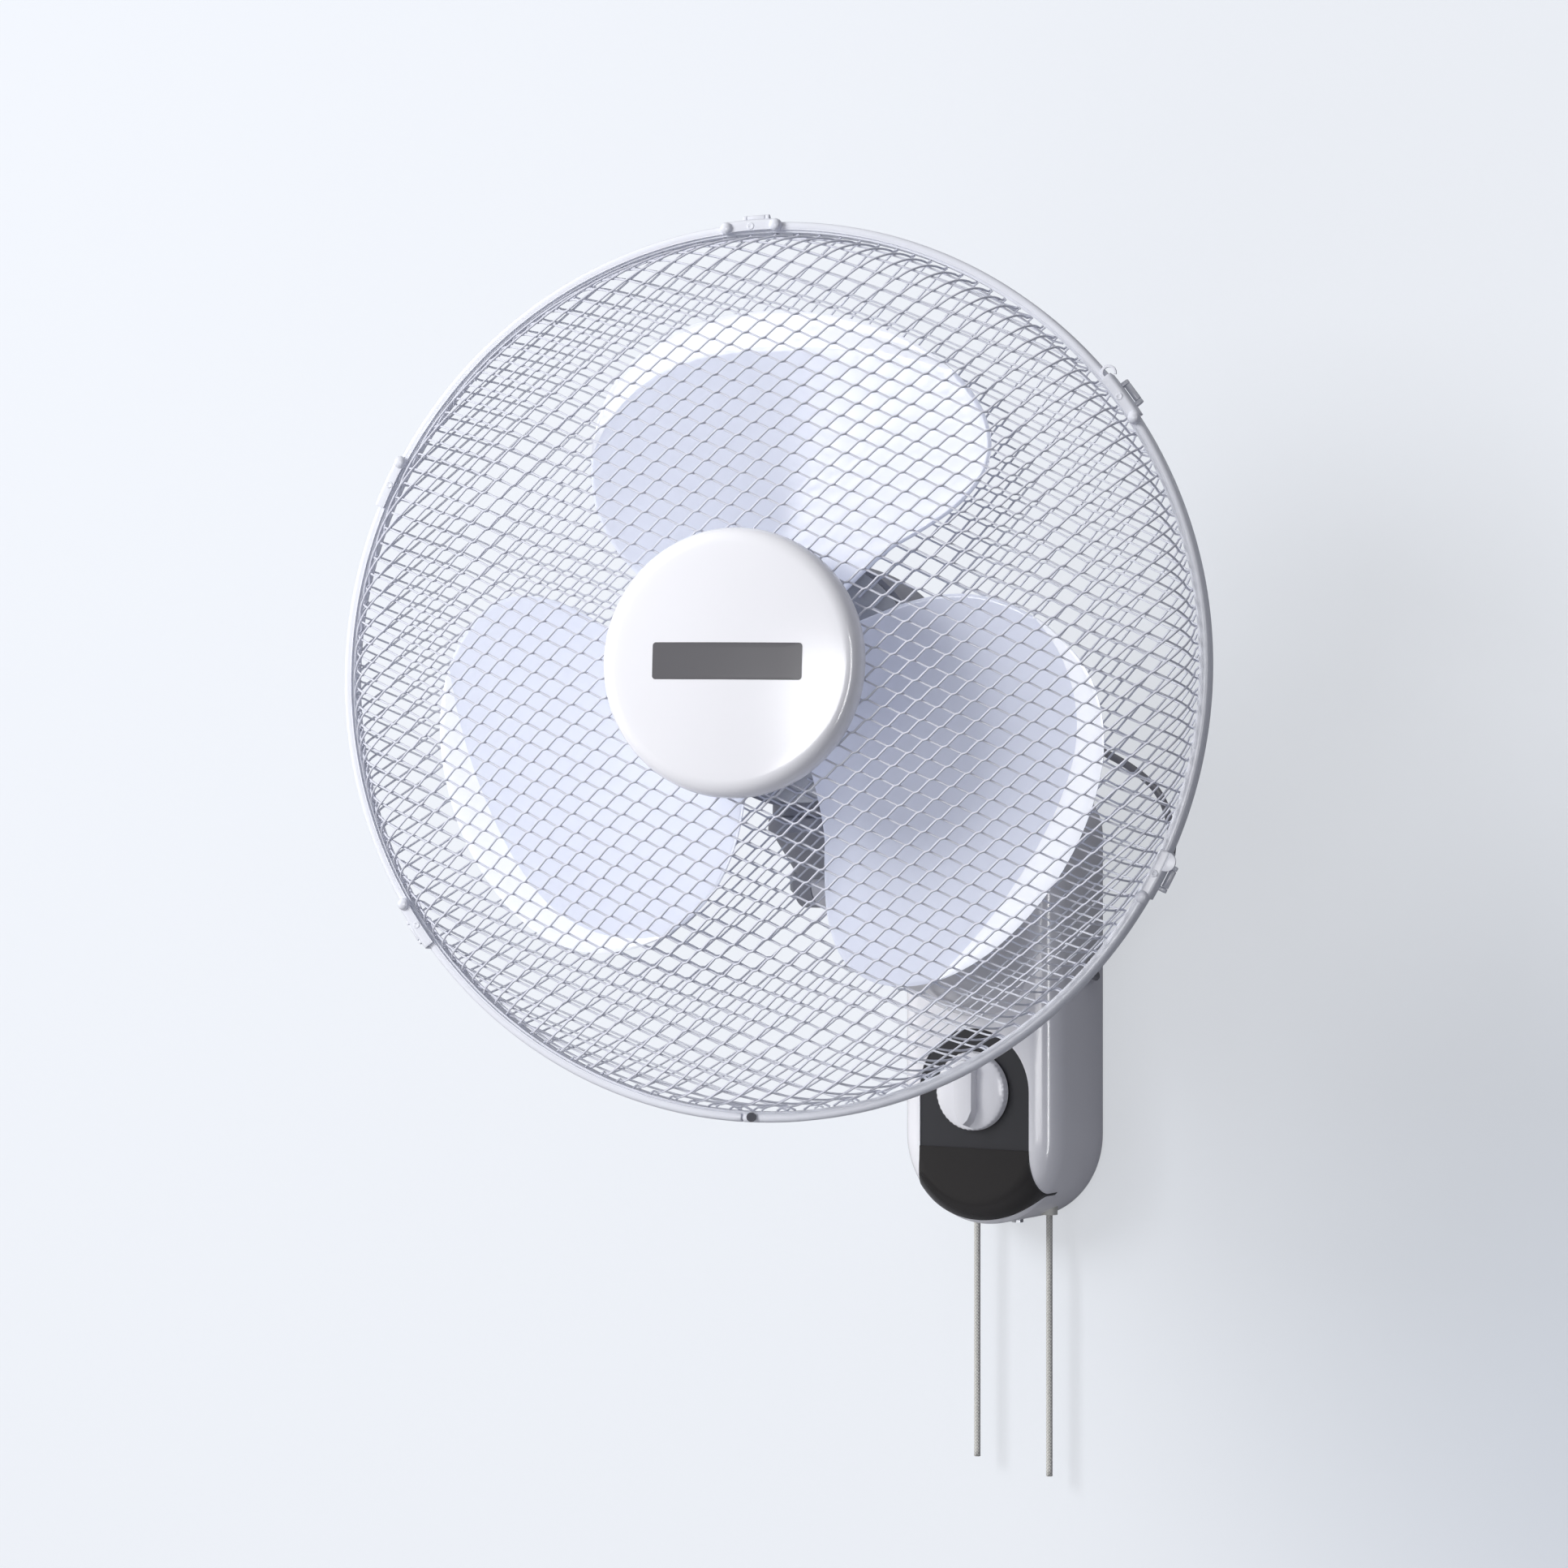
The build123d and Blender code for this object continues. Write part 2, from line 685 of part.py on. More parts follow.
def blade_outline_solid():
    """Prism through the blade's outline as seen along the motor's axis."""
    def place(angle, share):
        r = share * blade_radius
        return (r * cos(radians(angle)), r * sin(radians(angle)))

    points = [place(angle, share) for angle, share in blade_outline]
    share = (hub_radius - hub_wall / 2) / blade_radius
    lead = place(blade_outline[0][0] + 3, share)
    trail = place(blade_outline[-1][0] + 3, share)
    sides = [Spline(*points), Line(points[-1], trail), Line(trail, lead), Line(lead, points[0])]
    start = blade_rear - 15
    return extrude(Plane.XZ.offset(start) * make_face(sides), amount=blade_front + 15 - start)


def build_rotor():
    """Shaft, rotor core, three-paddle blade and the spinner nut that holds it."""
    shaft_rear = rear_plate_front + rear_plate_thickness + 3
    shaft = ring_y(shaft_radius, 0, -shaft_rear, shaft_front)
    nodes["rotor_shaft"] = head_place * shaft
    core = ring_y(stator_bore - rotor_gap, shaft_radius, -stator_rear, stator_front)
    nodes["rotor_core"] = head_place * core

    angles = [blade_middle_angle + blade_half_span * step / 4 for step in range(-4, 5)]
    paddle = loft([blade_section(angle) for angle in angles]) & blade_outline_solid()
    paddle -= ring_y(hub_radius - hub_wall / 2, 0, hub_rear - 10, blade_front + 15)
    hub = ring_y(hub_radius, hub_radius - hub_wall, hub_rear, hub_front)
    hub += ring_y(hub_radius, hub_core_radius, hub_front - 3, hub_front)
    hub += ring_y(hub_core_radius, 0, hub_rear + 2, hub_front)
    for k in range(blade_count):
        hub += Rot(Y=k * 360 / blade_count) * paddle
    hub -= ring_y(shaft_radius, 0, hub_rear - 1, hub_front + 1)
    nodes["fan_blade"] = head_place * hub

    nose = hub_front + spinner_length
    spinner = turned([(0, hub_front), (spinner_radius, hub_front),
                      (spinner_radius - 1.5, hub_front + 5), (0.55 * spinner_radius, nose - 1),
                      (0.3 * spinner_radius, nose), (0, nose)])
    spinner -= ring_y(shaft_radius, 0, hub_front - 1, shaft_front)
    nodes["blade_spinner"] = head_place * spinner


# ----------------------------------------------------------------------------- guard
def dome_height(r, height):
    """Height of a dome above the rim plane at radius r."""
    if r <= dome_flat_radius:
        return height
    t = min((r - dome_flat_radius) / (mesh_edge - dome_flat_radius), 1.0)
    return band_middle + (height - band_middle) * (1 - t * t) ** dome_power


def wire_stations(offset, start, end, height):
    """Places along a straight mesh line that keep its chords within the sag."""
    def rise(s):
        return dome_height(hypot(s, offset), height)

    knees = []
    for radius in (dome_flat_radius, mesh_edge):
        half = sqrt(max(radius**2 - offset**2, 0.0))
        knees += [-half, half] if half > 4 else []
    stops = [s for s in knees if start + 1 < s < end - 1] + [end]
    places = [start]
    while places[-1] < end:
        here = places[-1]
        reach = min(s for s in stops if s > here)
        while reach - here > 3:
            worst = 0.0
            for k in range(1, 8):
                s = here + (reach - here) * k / 8
                chord = rise(here) + (rise(reach) - rise(here)) * k / 8
                worst = max(worst, abs(rise(s) - chord))
            if worst <= wire_sag:
                break
            reach = here + 0.94 * (reach - here)
        places.append(reach)
    return places


def mesh_line(offset, angle, start, end, height, sign, layer):
    """One straight mesh line, bent over a dome; sign 1 is the front dome."""
    stations = wire_stations(offset, start, end, height)
    shift = layer * mesh_half
    low = []
    high = []
    for s in stations:
        rise = dome_height(hypot(s, offset), height)
        slope = (dome_height(hypot(s + 0.5, offset), height)
                 - dome_height(hypot(s - 0.5, offset), height))
        scale = sqrt(1 + slope * slope)
        for side, points in ((-1, low), (1, high)):
            distance = shift + side * mesh_wire / 2
            along = s - distance * slope / scale
            up = rise + distance / scale
            points.append((along, -(rim_plane + sign * up)))
    face = make_face(Polyline(low + high[::-1], close=True))
    a = radians(angle)
    plane = Plane(
        origin=(-offset * sin(a), 0, offset * cos(a)),
        x_dir=(cos(a), 0, sin(a)),
        z_dir=(-sin(a), 0, cos(a)),
    )
    return extrude(plane * face, amount=mesh_wire / 2, both=True)


def mesh(height, sign, hole):
    """Both layers of crossing wires on a dome, open inside a round hole."""
    wires = []
    pitch = mesh_pitch * mesh_step
    for angle, layer in ((mesh_angle_rising, 1), (mesh_angle_falling, -1)):
        count = int((band_inner - 12) / pitch + 0.5)
        for k in range(-count, count):
            offset = (k + 0.5) * pitch
            side = abs(offset) + mesh_wire / 2
            full = sqrt((band_inner - wire_end_gap) ** 2 - side**2)
            if abs(offset) < hole:
                inner = sqrt(hole**2 - offset**2)
                spans = ((-full, -inner), (inner, full))
            else:
                spans = ((-full, full),)
            for start, end in spans:
                wires.append(mesh_line(offset, angle, start, end, height, sign, layer))
    return wires


def build_guard():
    """Both meshes with their edge bands, the rear plate, the nut, the cap and the rim."""
    gap = band_gap
    half = rim_depth / 2 - rim_wall - gap
    front_band = ring_y(band_outer, band_inner, rim_plane + gap, rim_plane + half)
    rear_band = ring_y(band_outer, band_inner, rim_plane - half, rim_plane - gap)
    front_wires = mesh(front_dome_height, 1, 0)
    nodes["front_grille"] = [head_place * wire for wire in front_wires]

    hole = dome_flat_radius - grille_plate_wire_overlap
    rear_wires = mesh(rear_dome_height, -1, hole)
    plate = ring_y(dome_flat_radius, front_boss_radius + 0.2, plate_rear, plate_front)
    nodes["rear_grille"] = [head_place * s for s in [plate] + rear_wires]

    nut_front = plate_front + grille_nut_thickness
    nut = ring_y(grille_nut_radius, front_boss_radius, plate_front, nut_front)
    for k in range(6):
        notch = Rot(Y=k * 60) * Pos(grille_nut_radius, -(nut_front + plate_front) / 2, 0)
        nut -= notch * Rot(X=90) * Cylinder(3.5, grille_nut_thickness + 2)
    nodes["rear_grille_nut"] = head_place * nut

    r = cap_radius
    edge = cap_back + cap_side
    crown = edge + cap_shoulder + cap_crown_rise

    def dish(inset):
        turn = (cap_shoulder - inset) * sqrt(0.5)
        flat = edge + cap_shoulder - inset
        top = crown - inset
        start = r - cap_shoulder
        lines = [
            Line((0, -cap_back + inset), (r - inset, -cap_back + inset)),
            Line((r - inset, -cap_back + inset), (r - inset, -edge)),
            ThreePointArc((r - inset, -edge), (start + turn, -edge - turn), (start, -flat)),
            ThreePointArc((start, -flat), (0.6 * start, -top + 0.36 * (top - flat)),
                          (cap_crown_flat, -top)),
            Line((cap_crown_flat, -top), (0, -top)),
            Line((0, -top), (0, -cap_back + inset)),
        ]
        return revolve(make_face(lines), Axis.Y, 360)

    cap = dish(0)
    cap -= dish(cap_wall)
    back_front = front_mesh_centre - mesh_reach - 0.1
    cap += ring_y(cap_post_radius, 0, back_front, crown - cap_wall / 2)
    cap -= ring_y(1.2, 0, back_front - 1, back_front + 8)
    nodes["front_cap"] = head_place * cap
    back = ring_y(cap_back_radius, 1.2, back_front - cap_back_thickness, back_front)
    nodes["cap_back_plate"] = head_place * back
    screw_tip = back_front + 8
    screw = ring_y(1.2, 0, back_front - cap_back_thickness, screw_tip)
    screw += ring_y(3.0, 0, back_front - cap_back_thickness - 2, back_front - cap_back_thickness)
    nodes["cap_screw"] = head_place * screw

    outer = rim_depth / 2
    inner = outer - rim_wall
    rim = ring_y(rim_radius, rim_inner, rim_plane - outer, rim_plane + outer)
    rim -= ring_y(rim_radius - rim_wall, rim_inner - 1, rim_plane - inner, rim_plane + inner)
    for angle in clip_angles:
        rim += clip_frame(angle) * clip_ears()
    turn = Rot(Y=-rim_screw_angle)
    screw_circle = (rim_radius + rim_inner) / 2 - rim_wall / 4
    rim -= turn * block(rim_inner - 1, rim_radius + 1, -rim_plane - outer - 1,
                        -rim_plane + outer + 1, 4.0, 5.0)
    hole = rod_y(rim_screw_radius, -rim_plane - outer - 1, -rim_plane + outer + 4,
                 screw_circle, 0)
    rim -= turn * hole
    nodes["rim_ring"] = head_place * rim
    way = rod_y(rim_screw_radius + 0.3, -rim_plane - outer, -rim_plane + outer, screw_circle, 0)
    nodes["front_band"] = head_place * (front_band - turn * way)
    nodes["rear_band"] = head_place * (rear_band - turn * way)
    rear = -rim_plane + outer
    strap = block(rim_inner, rim_radius - 0.3, rear, rear + 2.0, -rim_strap_length / 2,
                  rim_strap_length / 2)
    nodes["rim_strap"] = head_place * turn * (strap - hole)
    screw = rod_y(rim_screw_radius, -rim_plane - outer, rear + 2.0, screw_circle, 0)
    screw += rod_y(2.3, -rim_plane - outer - 1.3, -rim_plane - outer, screw_circle, 0)
    nodes["rim_screw"] = head_place * turn * screw


def clip_frame(angle):
    """Frame at a clip: X outwards from the motor axis, Z along the rim."""
    return Rot(Y=-angle)


def hinge_x():
    """Distance of a clip's hinge from the motor axis."""
    return rim_radius + clip_gap + clip_hinge_radius


def clip_ears():
    """Pair of ears on the rim, with the clip's pin holes."""
    x = hinge_x()
    y = -rim_plane + rim_depth / 2 - clip_hinge_radius
    start = clip_length / 2 + 0.4
    ears = None
    for side in (-1, 1):
        z = side * (start + clip_ear_thickness / 2)
        half = clip_ear_thickness / 2
        ear = post_z(clip_hinge_radius, z - half, z + half, x, y)
        root = rim_radius - 1.0
        ear += block(root, x, y - clip_hinge_radius, y + clip_hinge_radius, z - half, z + half)
        ear -= post_z(clip_pin_radius + running_clearance, z - half - 1, z + half + 1, x, y)
        ears = ear if ears is None else ears + ear
    return ears


def build_clips():
    """Flip clips, each hung on a pin between the ears of the rim."""
    x = hinge_x()
    y = -rim_plane + rim_depth / 2 - clip_hinge_radius
    half = clip_length / 2
    face = -rim_plane - rim_depth / 2 - clip_gap
    outer = rim_radius + clip_gap
    for number, angle in enumerate(clip_angles, start=1):
        clip = block(rim_inner + 0.3, outer + clip_wall, face - clip_wall, face, -half, half)
        clip += block(outer, outer + clip_wall, face, y, -half, half)
        clip += post_z(clip_hinge_radius, -half, half, x, y)
        reach = half + 0.4 + clip_ear_thickness
        clip += post_z(clip_pin_radius, -reach, reach, x, y)
        clip += block(outer, outer + 7, face - clip_wall, face, half - 9, half - 1)
        clip += rod_y(3.0, face, face - clip_wall - 0.8, rim_inner + 2, -half + 3)
        nodes[f"rim_clip_{number}"] = head_place * clip_frame(angle) * clip


# ----------------------------------------------------------------------------- cable
def tube(points):
    """Round tube along straight runs joined by arcs; prints its radii and length."""
    radii = []
    for before, corner, after in zip(points, points[1:], points[2:]):
        first = Vector(*corner) - Vector(*before)
        second = Vector(*after) - Vector(*corner)
        half_turn = radians(first.get_angle(second)) / 2
        radii.append(0.45 * min(first.length, second.length) / tan(half_turn))
    path = FilletPolyline(*points, radius=radii)
    start = Plane(origin=path @ 0, z_dir=path % 0)
    solid = sweep(start * Circle(cable_radius), path=path)
    print("cable length", round(path.length, 1), "least radius", round(min(radii), 1))
    print("volume over section times length",
          round(solid.volume / (pi * cable_radius**2 * path.length), 4))
    return solid


def relief_cone():
    """Tapered strain relief on Z, from a little below its seat to its tip."""
    low = -relief_flange_thickness
    cone = Cone(relief_wide, relief_tip, relief_length - low)
    return Pos(0, 0, (relief_length + low) / 2) * cone


def relief_disc(low, high):
    """Flange of a strain relief about Z, between two heights."""
    return Pos(0, 0, (low + high) / 2) * Cylinder(relief_flange, high - low)


def build_cable():
    """Cable from the motor cover to the base, in two lengths, with its reliefs."""
    neck = post_z(relief_neck, -cover_wall - 2, 1)
    exit_place = head_place * cable_exit()
    body = cable_exit() * (relief_cone() + relief_disc(-3, relief_flange_thickness))
    nodes["head_relief"] = head_place * (body - bell(0) + cable_exit() * neck)

    entry = Pos(*cable_entry)
    entry_place = entry * Rot(Y=cable_entry_lean)
    body = entry_place * relief_cone()
    body += entry * Rot(Y=90) * relief_disc(0, relief_flange_thickness)
    half = 3 * relief_flange
    y = cable_entry[1]
    z = cable_entry[2]
    body -= block(0, half_width, y - half, y + half, z - half, z + half)
    nodes["base_relief"] = body + entry * Rot(Y=90) * neck

    leave = exit_place * Pos(0, 0, relief_length)
    leave_on = leave * Pos(0, 0, cable_end_run)
    enter = entry_place * Pos(0, 0, relief_length)
    enter_on = enter * Pos(0, 0, cable_end_run)
    upper = [tuple(leave.position), tuple(leave_on.position)]
    lower = [tuple(enter_on.position), tuple(enter.position)]
    nodes["link_cable_upper"] = tube(upper + list(cable_upper_route) + [cable_split])
    nodes["link_cable_lower"] = tube([cable_split] + list(cable_lower_route) + lower)


def run():
    """Build every node and write it to its own STEP file."""
    build_base()
    build_knob()
    build_pull("speed", -1, speed_cord_drop)
    build_pull("swing", 1, swing_cord_drop)
    build_knuckle()
    build_motor()
    build_rotor()
    build_guard()
    build_clips()
    build_cable()
    os.makedirs("parts", exist_ok=True)
    for name, shape in nodes.items():
        if isinstance(shape, list):
            shape = Compound(children=shape)
        export_step(shape, f"parts/{name}.step")


run()
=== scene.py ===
# %% [markdown]
# # A wall fan, dressed for its picture
#
# The fan hangs on a wall plate. Its head is a wire guard with a three-paddle blade inside,
# a motor behind it, and a neck that tilts and swings on a moulded arm.
#
# The solids come from the imported model as a fixed frame. Most pieces made here take the
# place of one of them and ride on the same body, and every piece keeps the same measures.

# %% Load the frame
import json
from math import atan2, cos, degrees, exp, hypot, log, pi, radians, sin

import bmesh
import bpy
from mathutils import Matrix, Vector


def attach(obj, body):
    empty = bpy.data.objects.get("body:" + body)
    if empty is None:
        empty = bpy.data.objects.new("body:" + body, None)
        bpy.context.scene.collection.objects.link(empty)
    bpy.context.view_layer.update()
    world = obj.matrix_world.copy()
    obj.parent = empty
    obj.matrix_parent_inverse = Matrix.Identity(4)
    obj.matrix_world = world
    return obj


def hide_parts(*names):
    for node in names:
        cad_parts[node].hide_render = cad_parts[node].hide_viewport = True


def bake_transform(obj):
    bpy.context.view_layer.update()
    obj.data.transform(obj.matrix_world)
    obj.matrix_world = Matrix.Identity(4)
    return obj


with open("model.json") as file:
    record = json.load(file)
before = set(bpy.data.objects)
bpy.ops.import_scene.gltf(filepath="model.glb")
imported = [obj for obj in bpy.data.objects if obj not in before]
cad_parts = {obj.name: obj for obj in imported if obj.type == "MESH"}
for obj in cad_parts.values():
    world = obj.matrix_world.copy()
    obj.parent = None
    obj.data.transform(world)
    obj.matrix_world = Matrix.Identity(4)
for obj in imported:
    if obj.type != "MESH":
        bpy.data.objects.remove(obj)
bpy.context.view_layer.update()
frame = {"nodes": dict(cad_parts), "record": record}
nodes = frame["nodes"]
bodies = frame["record"]["behaviour"]["bodies"]
body_of_node = {node: body for body, members in bodies.items() for node in members}
mm = 0.001

# %% [markdown]
# ## Places
#
# Lengths are written in millimetres, as on a drawing, and turned to metres once.
# The head has a frame of its own: the motor's axis is local Y, and the air blows to -Y.
# Two matrices carry it to the wall's frame: the tilt of the neck, then the turn on it.

# %% Frames of the moving bodies
REST_TILT = radians(2.64)
REST_YAW = radians(15.6)
TILT_AXIS = (0, -196 * mm, 68 * mm)
HEAD_ON_NECK = (0, -28 * mm, 100 * mm)
ARM_END = Matrix.Translation(TILT_AXIS)
NECK = ARM_END @ Matrix.Rotation(-REST_TILT, 4, "X")
HEAD = NECK @ Matrix.Translation(HEAD_ON_NECK) @ Matrix.Rotation(REST_YAW, 4, "Z")
WALL = Matrix.Identity(4)
print("pivot of the head", [round(v, 4) for v in HEAD.translation])

# %% [markdown]
# ## One function for nodes, one for colours
#
# A material and a Geometry Nodes tree are both nodes with links. `add` makes one node:
# settings name its options or its sockets, and links name a socket and what feeds it.
# Colours are written as they look on a screen, in hex, and turned to linear light.


# %% Helpers for nodes and colours
def add(tree, kind, links=None, **settings):
    """Add one node. A link's value is a socket or a constant, its key a socket's name or place."""
    node = tree.nodes.new(kind)
    for name, value in settings.items():
        label = name.replace("_", " ")
        if hasattr(node, name):
            setattr(node, name, value)
        else:
            node.inputs[label].default_value = value
    for key, value in (links or {}).items():
        if isinstance(value, bpy.types.Node):
            value = value.outputs[0]
        if isinstance(value, bpy.types.NodeSocket):
            tree.links.new(value, node.inputs[key])
        else:
            node.inputs[key].default_value = value
    return node


def cleared(owner):
    """Empty node tree of a material or a world."""
    owner.use_nodes = True
    owner.node_tree.nodes.clear()
    return owner.node_tree


def linear(hex_colour):
    """Linear RGBA of an sRGB hex colour."""
    channels = [int(hex_colour[i : i + 2], 16) / 255 for i in (1, 3, 5)]
    return [c / 12.92 if c <= 0.04045 else ((c + 0.055) / 1.055) ** 2.4 for c in channels] + [1.0]


MOULDED_WHITE = "#F4F4F9"
print("white of the mouldings", [round(c, 3) for c in linear(MOULDED_WHITE)])

# %% [markdown]
# ## The camera
#
# The camera was fitted to the ellipse of the guard's rim and to the upright edges of the
# base, which stay parallel: it is level, 32 degrees to the right of the wall's normal, and
# far away with a long lens. A level camera keeps the cords upright.

# %% Camera
LENS = 93.17
SENSOR = 36.0
CAMERA_PLACE = (1.0726, -1.9676, 0.1184)
LINE_OF_SIGHT = (-0.5299, 0.8480, 0.0)
camera_data = bpy.data.cameras.new("camera")
camera_data.lens = LENS
camera_data.sensor_width = SENSOR
camera_data.clip_end = 50.0
camera = bpy.data.objects.new("camera", camera_data)
camera.location = CAMERA_PLACE
camera.rotation_mode = "QUATERNION"
camera.rotation_quaternion = Vector(LINE_OF_SIGHT).to_track_quat("-Z", "Y")
bpy.context.scene.collection.objects.link(camera)
bpy.context.scene.camera = camera
bpy.context.scene.view_settings.view_transform = "Standard"
print("camera", [round(v, 3) for v in camera.location], "lens", camera_data.lens)

# %% [markdown]
# ## Materials
#
# Most of this fan is one of three things: white moulded plastic, white powder-coated
# steel, and dark moulded plastic. A moulding is never one flat colour. Its skin has a
# faint orange peel a few millimetres wide, and its gloss changes a little where it was
# handled. `finish` builds that: a wide noise moves the roughness, a fine noise moves the
# normal, and both read Object coordinates, so their scale is a real size.


# %% A finish with orange peel and worn gloss
GLOSS_PATCH = 35.0
PEEL_DEPTH = 0.3


def finish(name, colour, roughness, peel_mm=2.0, peel=0.05, worn=0.04, tint=0.008, **shader):
    """Material with a fine relief of peel_mm, a wide change of gloss, and shader settings."""
    material = bpy.data.materials.new(name)
    tree = cleared(material)
    place = add(tree, "ShaderNodeTexCoord").outputs["Object"]
    wide = add(
        tree,
        "ShaderNodeTexNoise",
        {"Vector": place},
        Scale=1 / (GLOSS_PATCH * mm),
        Detail=3.0,
    )
    # A noise hardly leaves the range from 0.3 to 0.7.
    gloss = add(
        tree,
        "ShaderNodeMapRange",
        {"Value": wide.outputs["Fac"], "To Min": roughness - worn, "To Max": roughness + worn},
        From_Min=0.3,
        From_Max=0.7,
    )
    base = linear(colour)
    darker = [c * (1 - tint) for c in base[:3]] + [1.0]
    lighter = [min(1.0, c * (1 + tint)) for c in base[:3]] + [1.0]
    skin = add(
        tree,
        "ShaderNodeMix",
        {"Factor": wide.outputs["Fac"], 6: darker, 7: lighter},
        data_type="RGBA",
    )
    fine = add(
        tree, "ShaderNodeTexNoise", {"Vector": place}, Scale=1 / (peel_mm * mm), Detail=2.0
    )
    relief = add(
        tree,
        "ShaderNodeBump",
        {"Height": fine.outputs["Fac"]},
        Strength=peel,
        Distance=PEEL_DEPTH * mm,
    )
    surface = add(
        tree,
        "ShaderNodeBsdfPrincipled",
        {
            "Base Color": skin.outputs[2],
            "Roughness": gloss.outputs["Result"],
            "Normal": relief.outputs["Normal"],
        },
        **shader,
    )
    add(tree, "ShaderNodeOutputMaterial", {"Surface": surface.outputs["BSDF"]})
    return material


# %% [markdown]
# Each finish starts from what the real thing is made of. The index of refraction is the
# typical one for that plastic, and roughness and colour were then matched to the object.
# Orange peel finer than a few tenths of a millimetre would not show, so it is drawn wider.

# %% Mouldings
# White ABS, moulded in a polished tool: glossy, with a slow ripple in what it reflects.
white_moulding = finish("white_abs_moulded", MOULDED_WHITE, 0.16, worn=0.015, IOR=1.54)
# Grey ABS from an etched tool: the motor's cover has a soft sheen and no clear reflection.
grey_moulding = finish("grey_abs_satin", "#A3A4AE", 0.45, peel_mm=1.2, peel=0.10, IOR=1.54)
# Nylon with a satin skin: the neck is matt and a little grainy.
neck_moulding = finish("neck_nylon_satin", "#A8A9B2", 0.5, peel_mm=1.0, peel=0.12, IOR=1.53)
# Dark ABS with a satin skin: the upper inlay, which shows the light as a broad dim band.
dark_satin = finish(
    "dark_abs_satin", "#343438", 0.32, peel_mm=1.2, peel=0.05, worn=0.01, IOR=1.54
)
# Dark acrylic: the lower inlay is as smooth as glass.
dark_gloss = finish("dark_acrylic_gloss", "#2A2828", 0.1, peel=0.02, worn=0.02, IOR=1.49)
# Natural nylon: the clips are smooth and slightly waxy.
clip_moulding = finish("clip_nylon", "#E4E6EE", 0.3, peel_mm=1.5, IOR=1.53)
# Powder coat, baked on steel: a fine ripple, and thick enough to round every edge. The front
# mesh has a greyer copy of it, which is painted shade.
wire_coat = finish("white_powder_coat", "#E9EBF3", 0.3, peel_mm=0.9, peel=0.10, IOR=1.5)
front_mesh_painted_shade = finish("powder_coat_painted_shade", "#D6D8E3", 0.28, peel_mm=0.9, peel=0.10, IOR=1.5)
# Undyed nylon: the switches and bushes inside are matt, straight from a plain tool.
plain_moulding = finish("plain_nylon", "#CFCFC8", 0.5, peel_mm=1.5, IOR=1.53)
# Printed polyester film: an even grey with a weak sheen.
label_grey = finish("printed_label", "#5C5B5F", 0.4, peel_mm=1.0, peel=0.03, IOR=1.5)

# %% The blade's two finishes
# Styrene-acrylonitrile, clear with a little milk in it: light goes in and comes out again
# all over the sheet. A weak glow stands in for that: painted light. The lip's copy is paler
# and glows more, painted light where the bent lip gathers it.
blade_face_painted_glow = finish(
    "blade_san_face_painted_glow",
    "#E6EAF6",
    0.12,
    peel=0.02,
    worn=0.02,
    IOR=1.57,
    Emission_Color=linear("#C9CFE8"),
    Emission_Strength=0.17,
)
blade_lip_painted_glow = finish(
    "blade_san_lip_painted_glow",
    "#F8FAFF",
    0.16,
    peel=0.02,
    worn=0.02,
    IOR=1.57,
    Emission_Color=linear("#E6EBFA"),
    Emission_Strength=0.24,
)

# %% Metals and the cable's sheath
# Zinc-plated steel is bright but not a mirror; blackened steel keeps a dark shine.
zinc_steel = finish("zinc_plated_steel", "#B9BBC0", 0.32, peel_mm=0.6, peel=0.05, Metallic=1.0)
black_screw = finish("blackened_steel", "#55565C", 0.25, peel_mm=0.5, peel=0.04, Metallic=1.0)
# Die-cast aluminium has a dull, pitted skin; sintered bronze is porous and soaked in oil.
cast_alloy = finish("die_cast_aluminium", "#A9ABB0", 0.48, peel_mm=0.8, peel=0.25, Metallic=1.0)
sinter_bronze = finish("sintered_bronze", "#A5824E", 0.5, peel_mm=0.4, peel=0.2, Metallic=1.0)
# Stacked core sheets scatter the light; enamelled copper shines through its varnish.
core_steel = finish("core_sheet_steel", "#7C7D82", 0.45, peel_mm=0.5, peel=0.3, Metallic=1.0)
coil_copper = finish("enamelled_copper", "#B0643A", 0.3, peel_mm=0.7, peel=0.5, Metallic=1.0)
# Soft PVC: grey, smooth and a little greasy.
cable_sheath = finish("grey_pvc_sheath", "#8C8C92", 0.4, peel_mm=1.0, peel=0.06, IOR=1.53)
print("finishes", len(bpy.data.materials))

# %% [markdown]
# ## Smooth copies
#
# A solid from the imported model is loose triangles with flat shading. Where its shape is
# right already, a copy is merged at its corners and shaded smooth up to a given angle,
# and the solid steps back. The copy keeps every measure of the solid.


# %% Helpers for pieces
# Corners of a mesh that lie nearer than this, in millimetres, are one corner.
SAME_CORNER = 0.002


def place_piece(obj, body, slot, *replaced):
    """Hand a finished piece to its body and hide the nodes it stands for; the slot is not used."""
    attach(obj, body)
    if replaced:
        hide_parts(*replaced)
    return obj


def new_piece(name, mesh, material, frame_matrix=WALL):
    """Object at the origin with its mesh carried to the wall's frame."""
    mesh.transform(frame_matrix)
    mesh.materials.clear()
    mesh.materials.append(material)
    obj = bpy.data.objects.new(name, mesh)
    bpy.context.scene.collection.objects.link(obj)
    return obj


def finished_mesh(name, bm, outward=True):
    """Mesh data from a bmesh, with its faces turned outward if asked."""
    if outward:
        bmesh.ops.recalc_face_normals(bm, faces=bm.faces)
    mesh = bpy.data.meshes.new(name)
    bm.to_mesh(mesh)
    bm.free()
    return mesh


def shade(mesh, angle=30.0):
    """Smooth shading with hard edges above an angle."""
    bm = bmesh.new()
    bm.from_mesh(mesh)
    for face in bm.faces:
        face.smooth = True
    for edge in bm.edges:
        edge.smooth = len(edge.link_faces) == 2 and edge.calc_face_angle(0.0) < radians(angle)
    bm.to_mesh(mesh)
    bm.free()
    return mesh


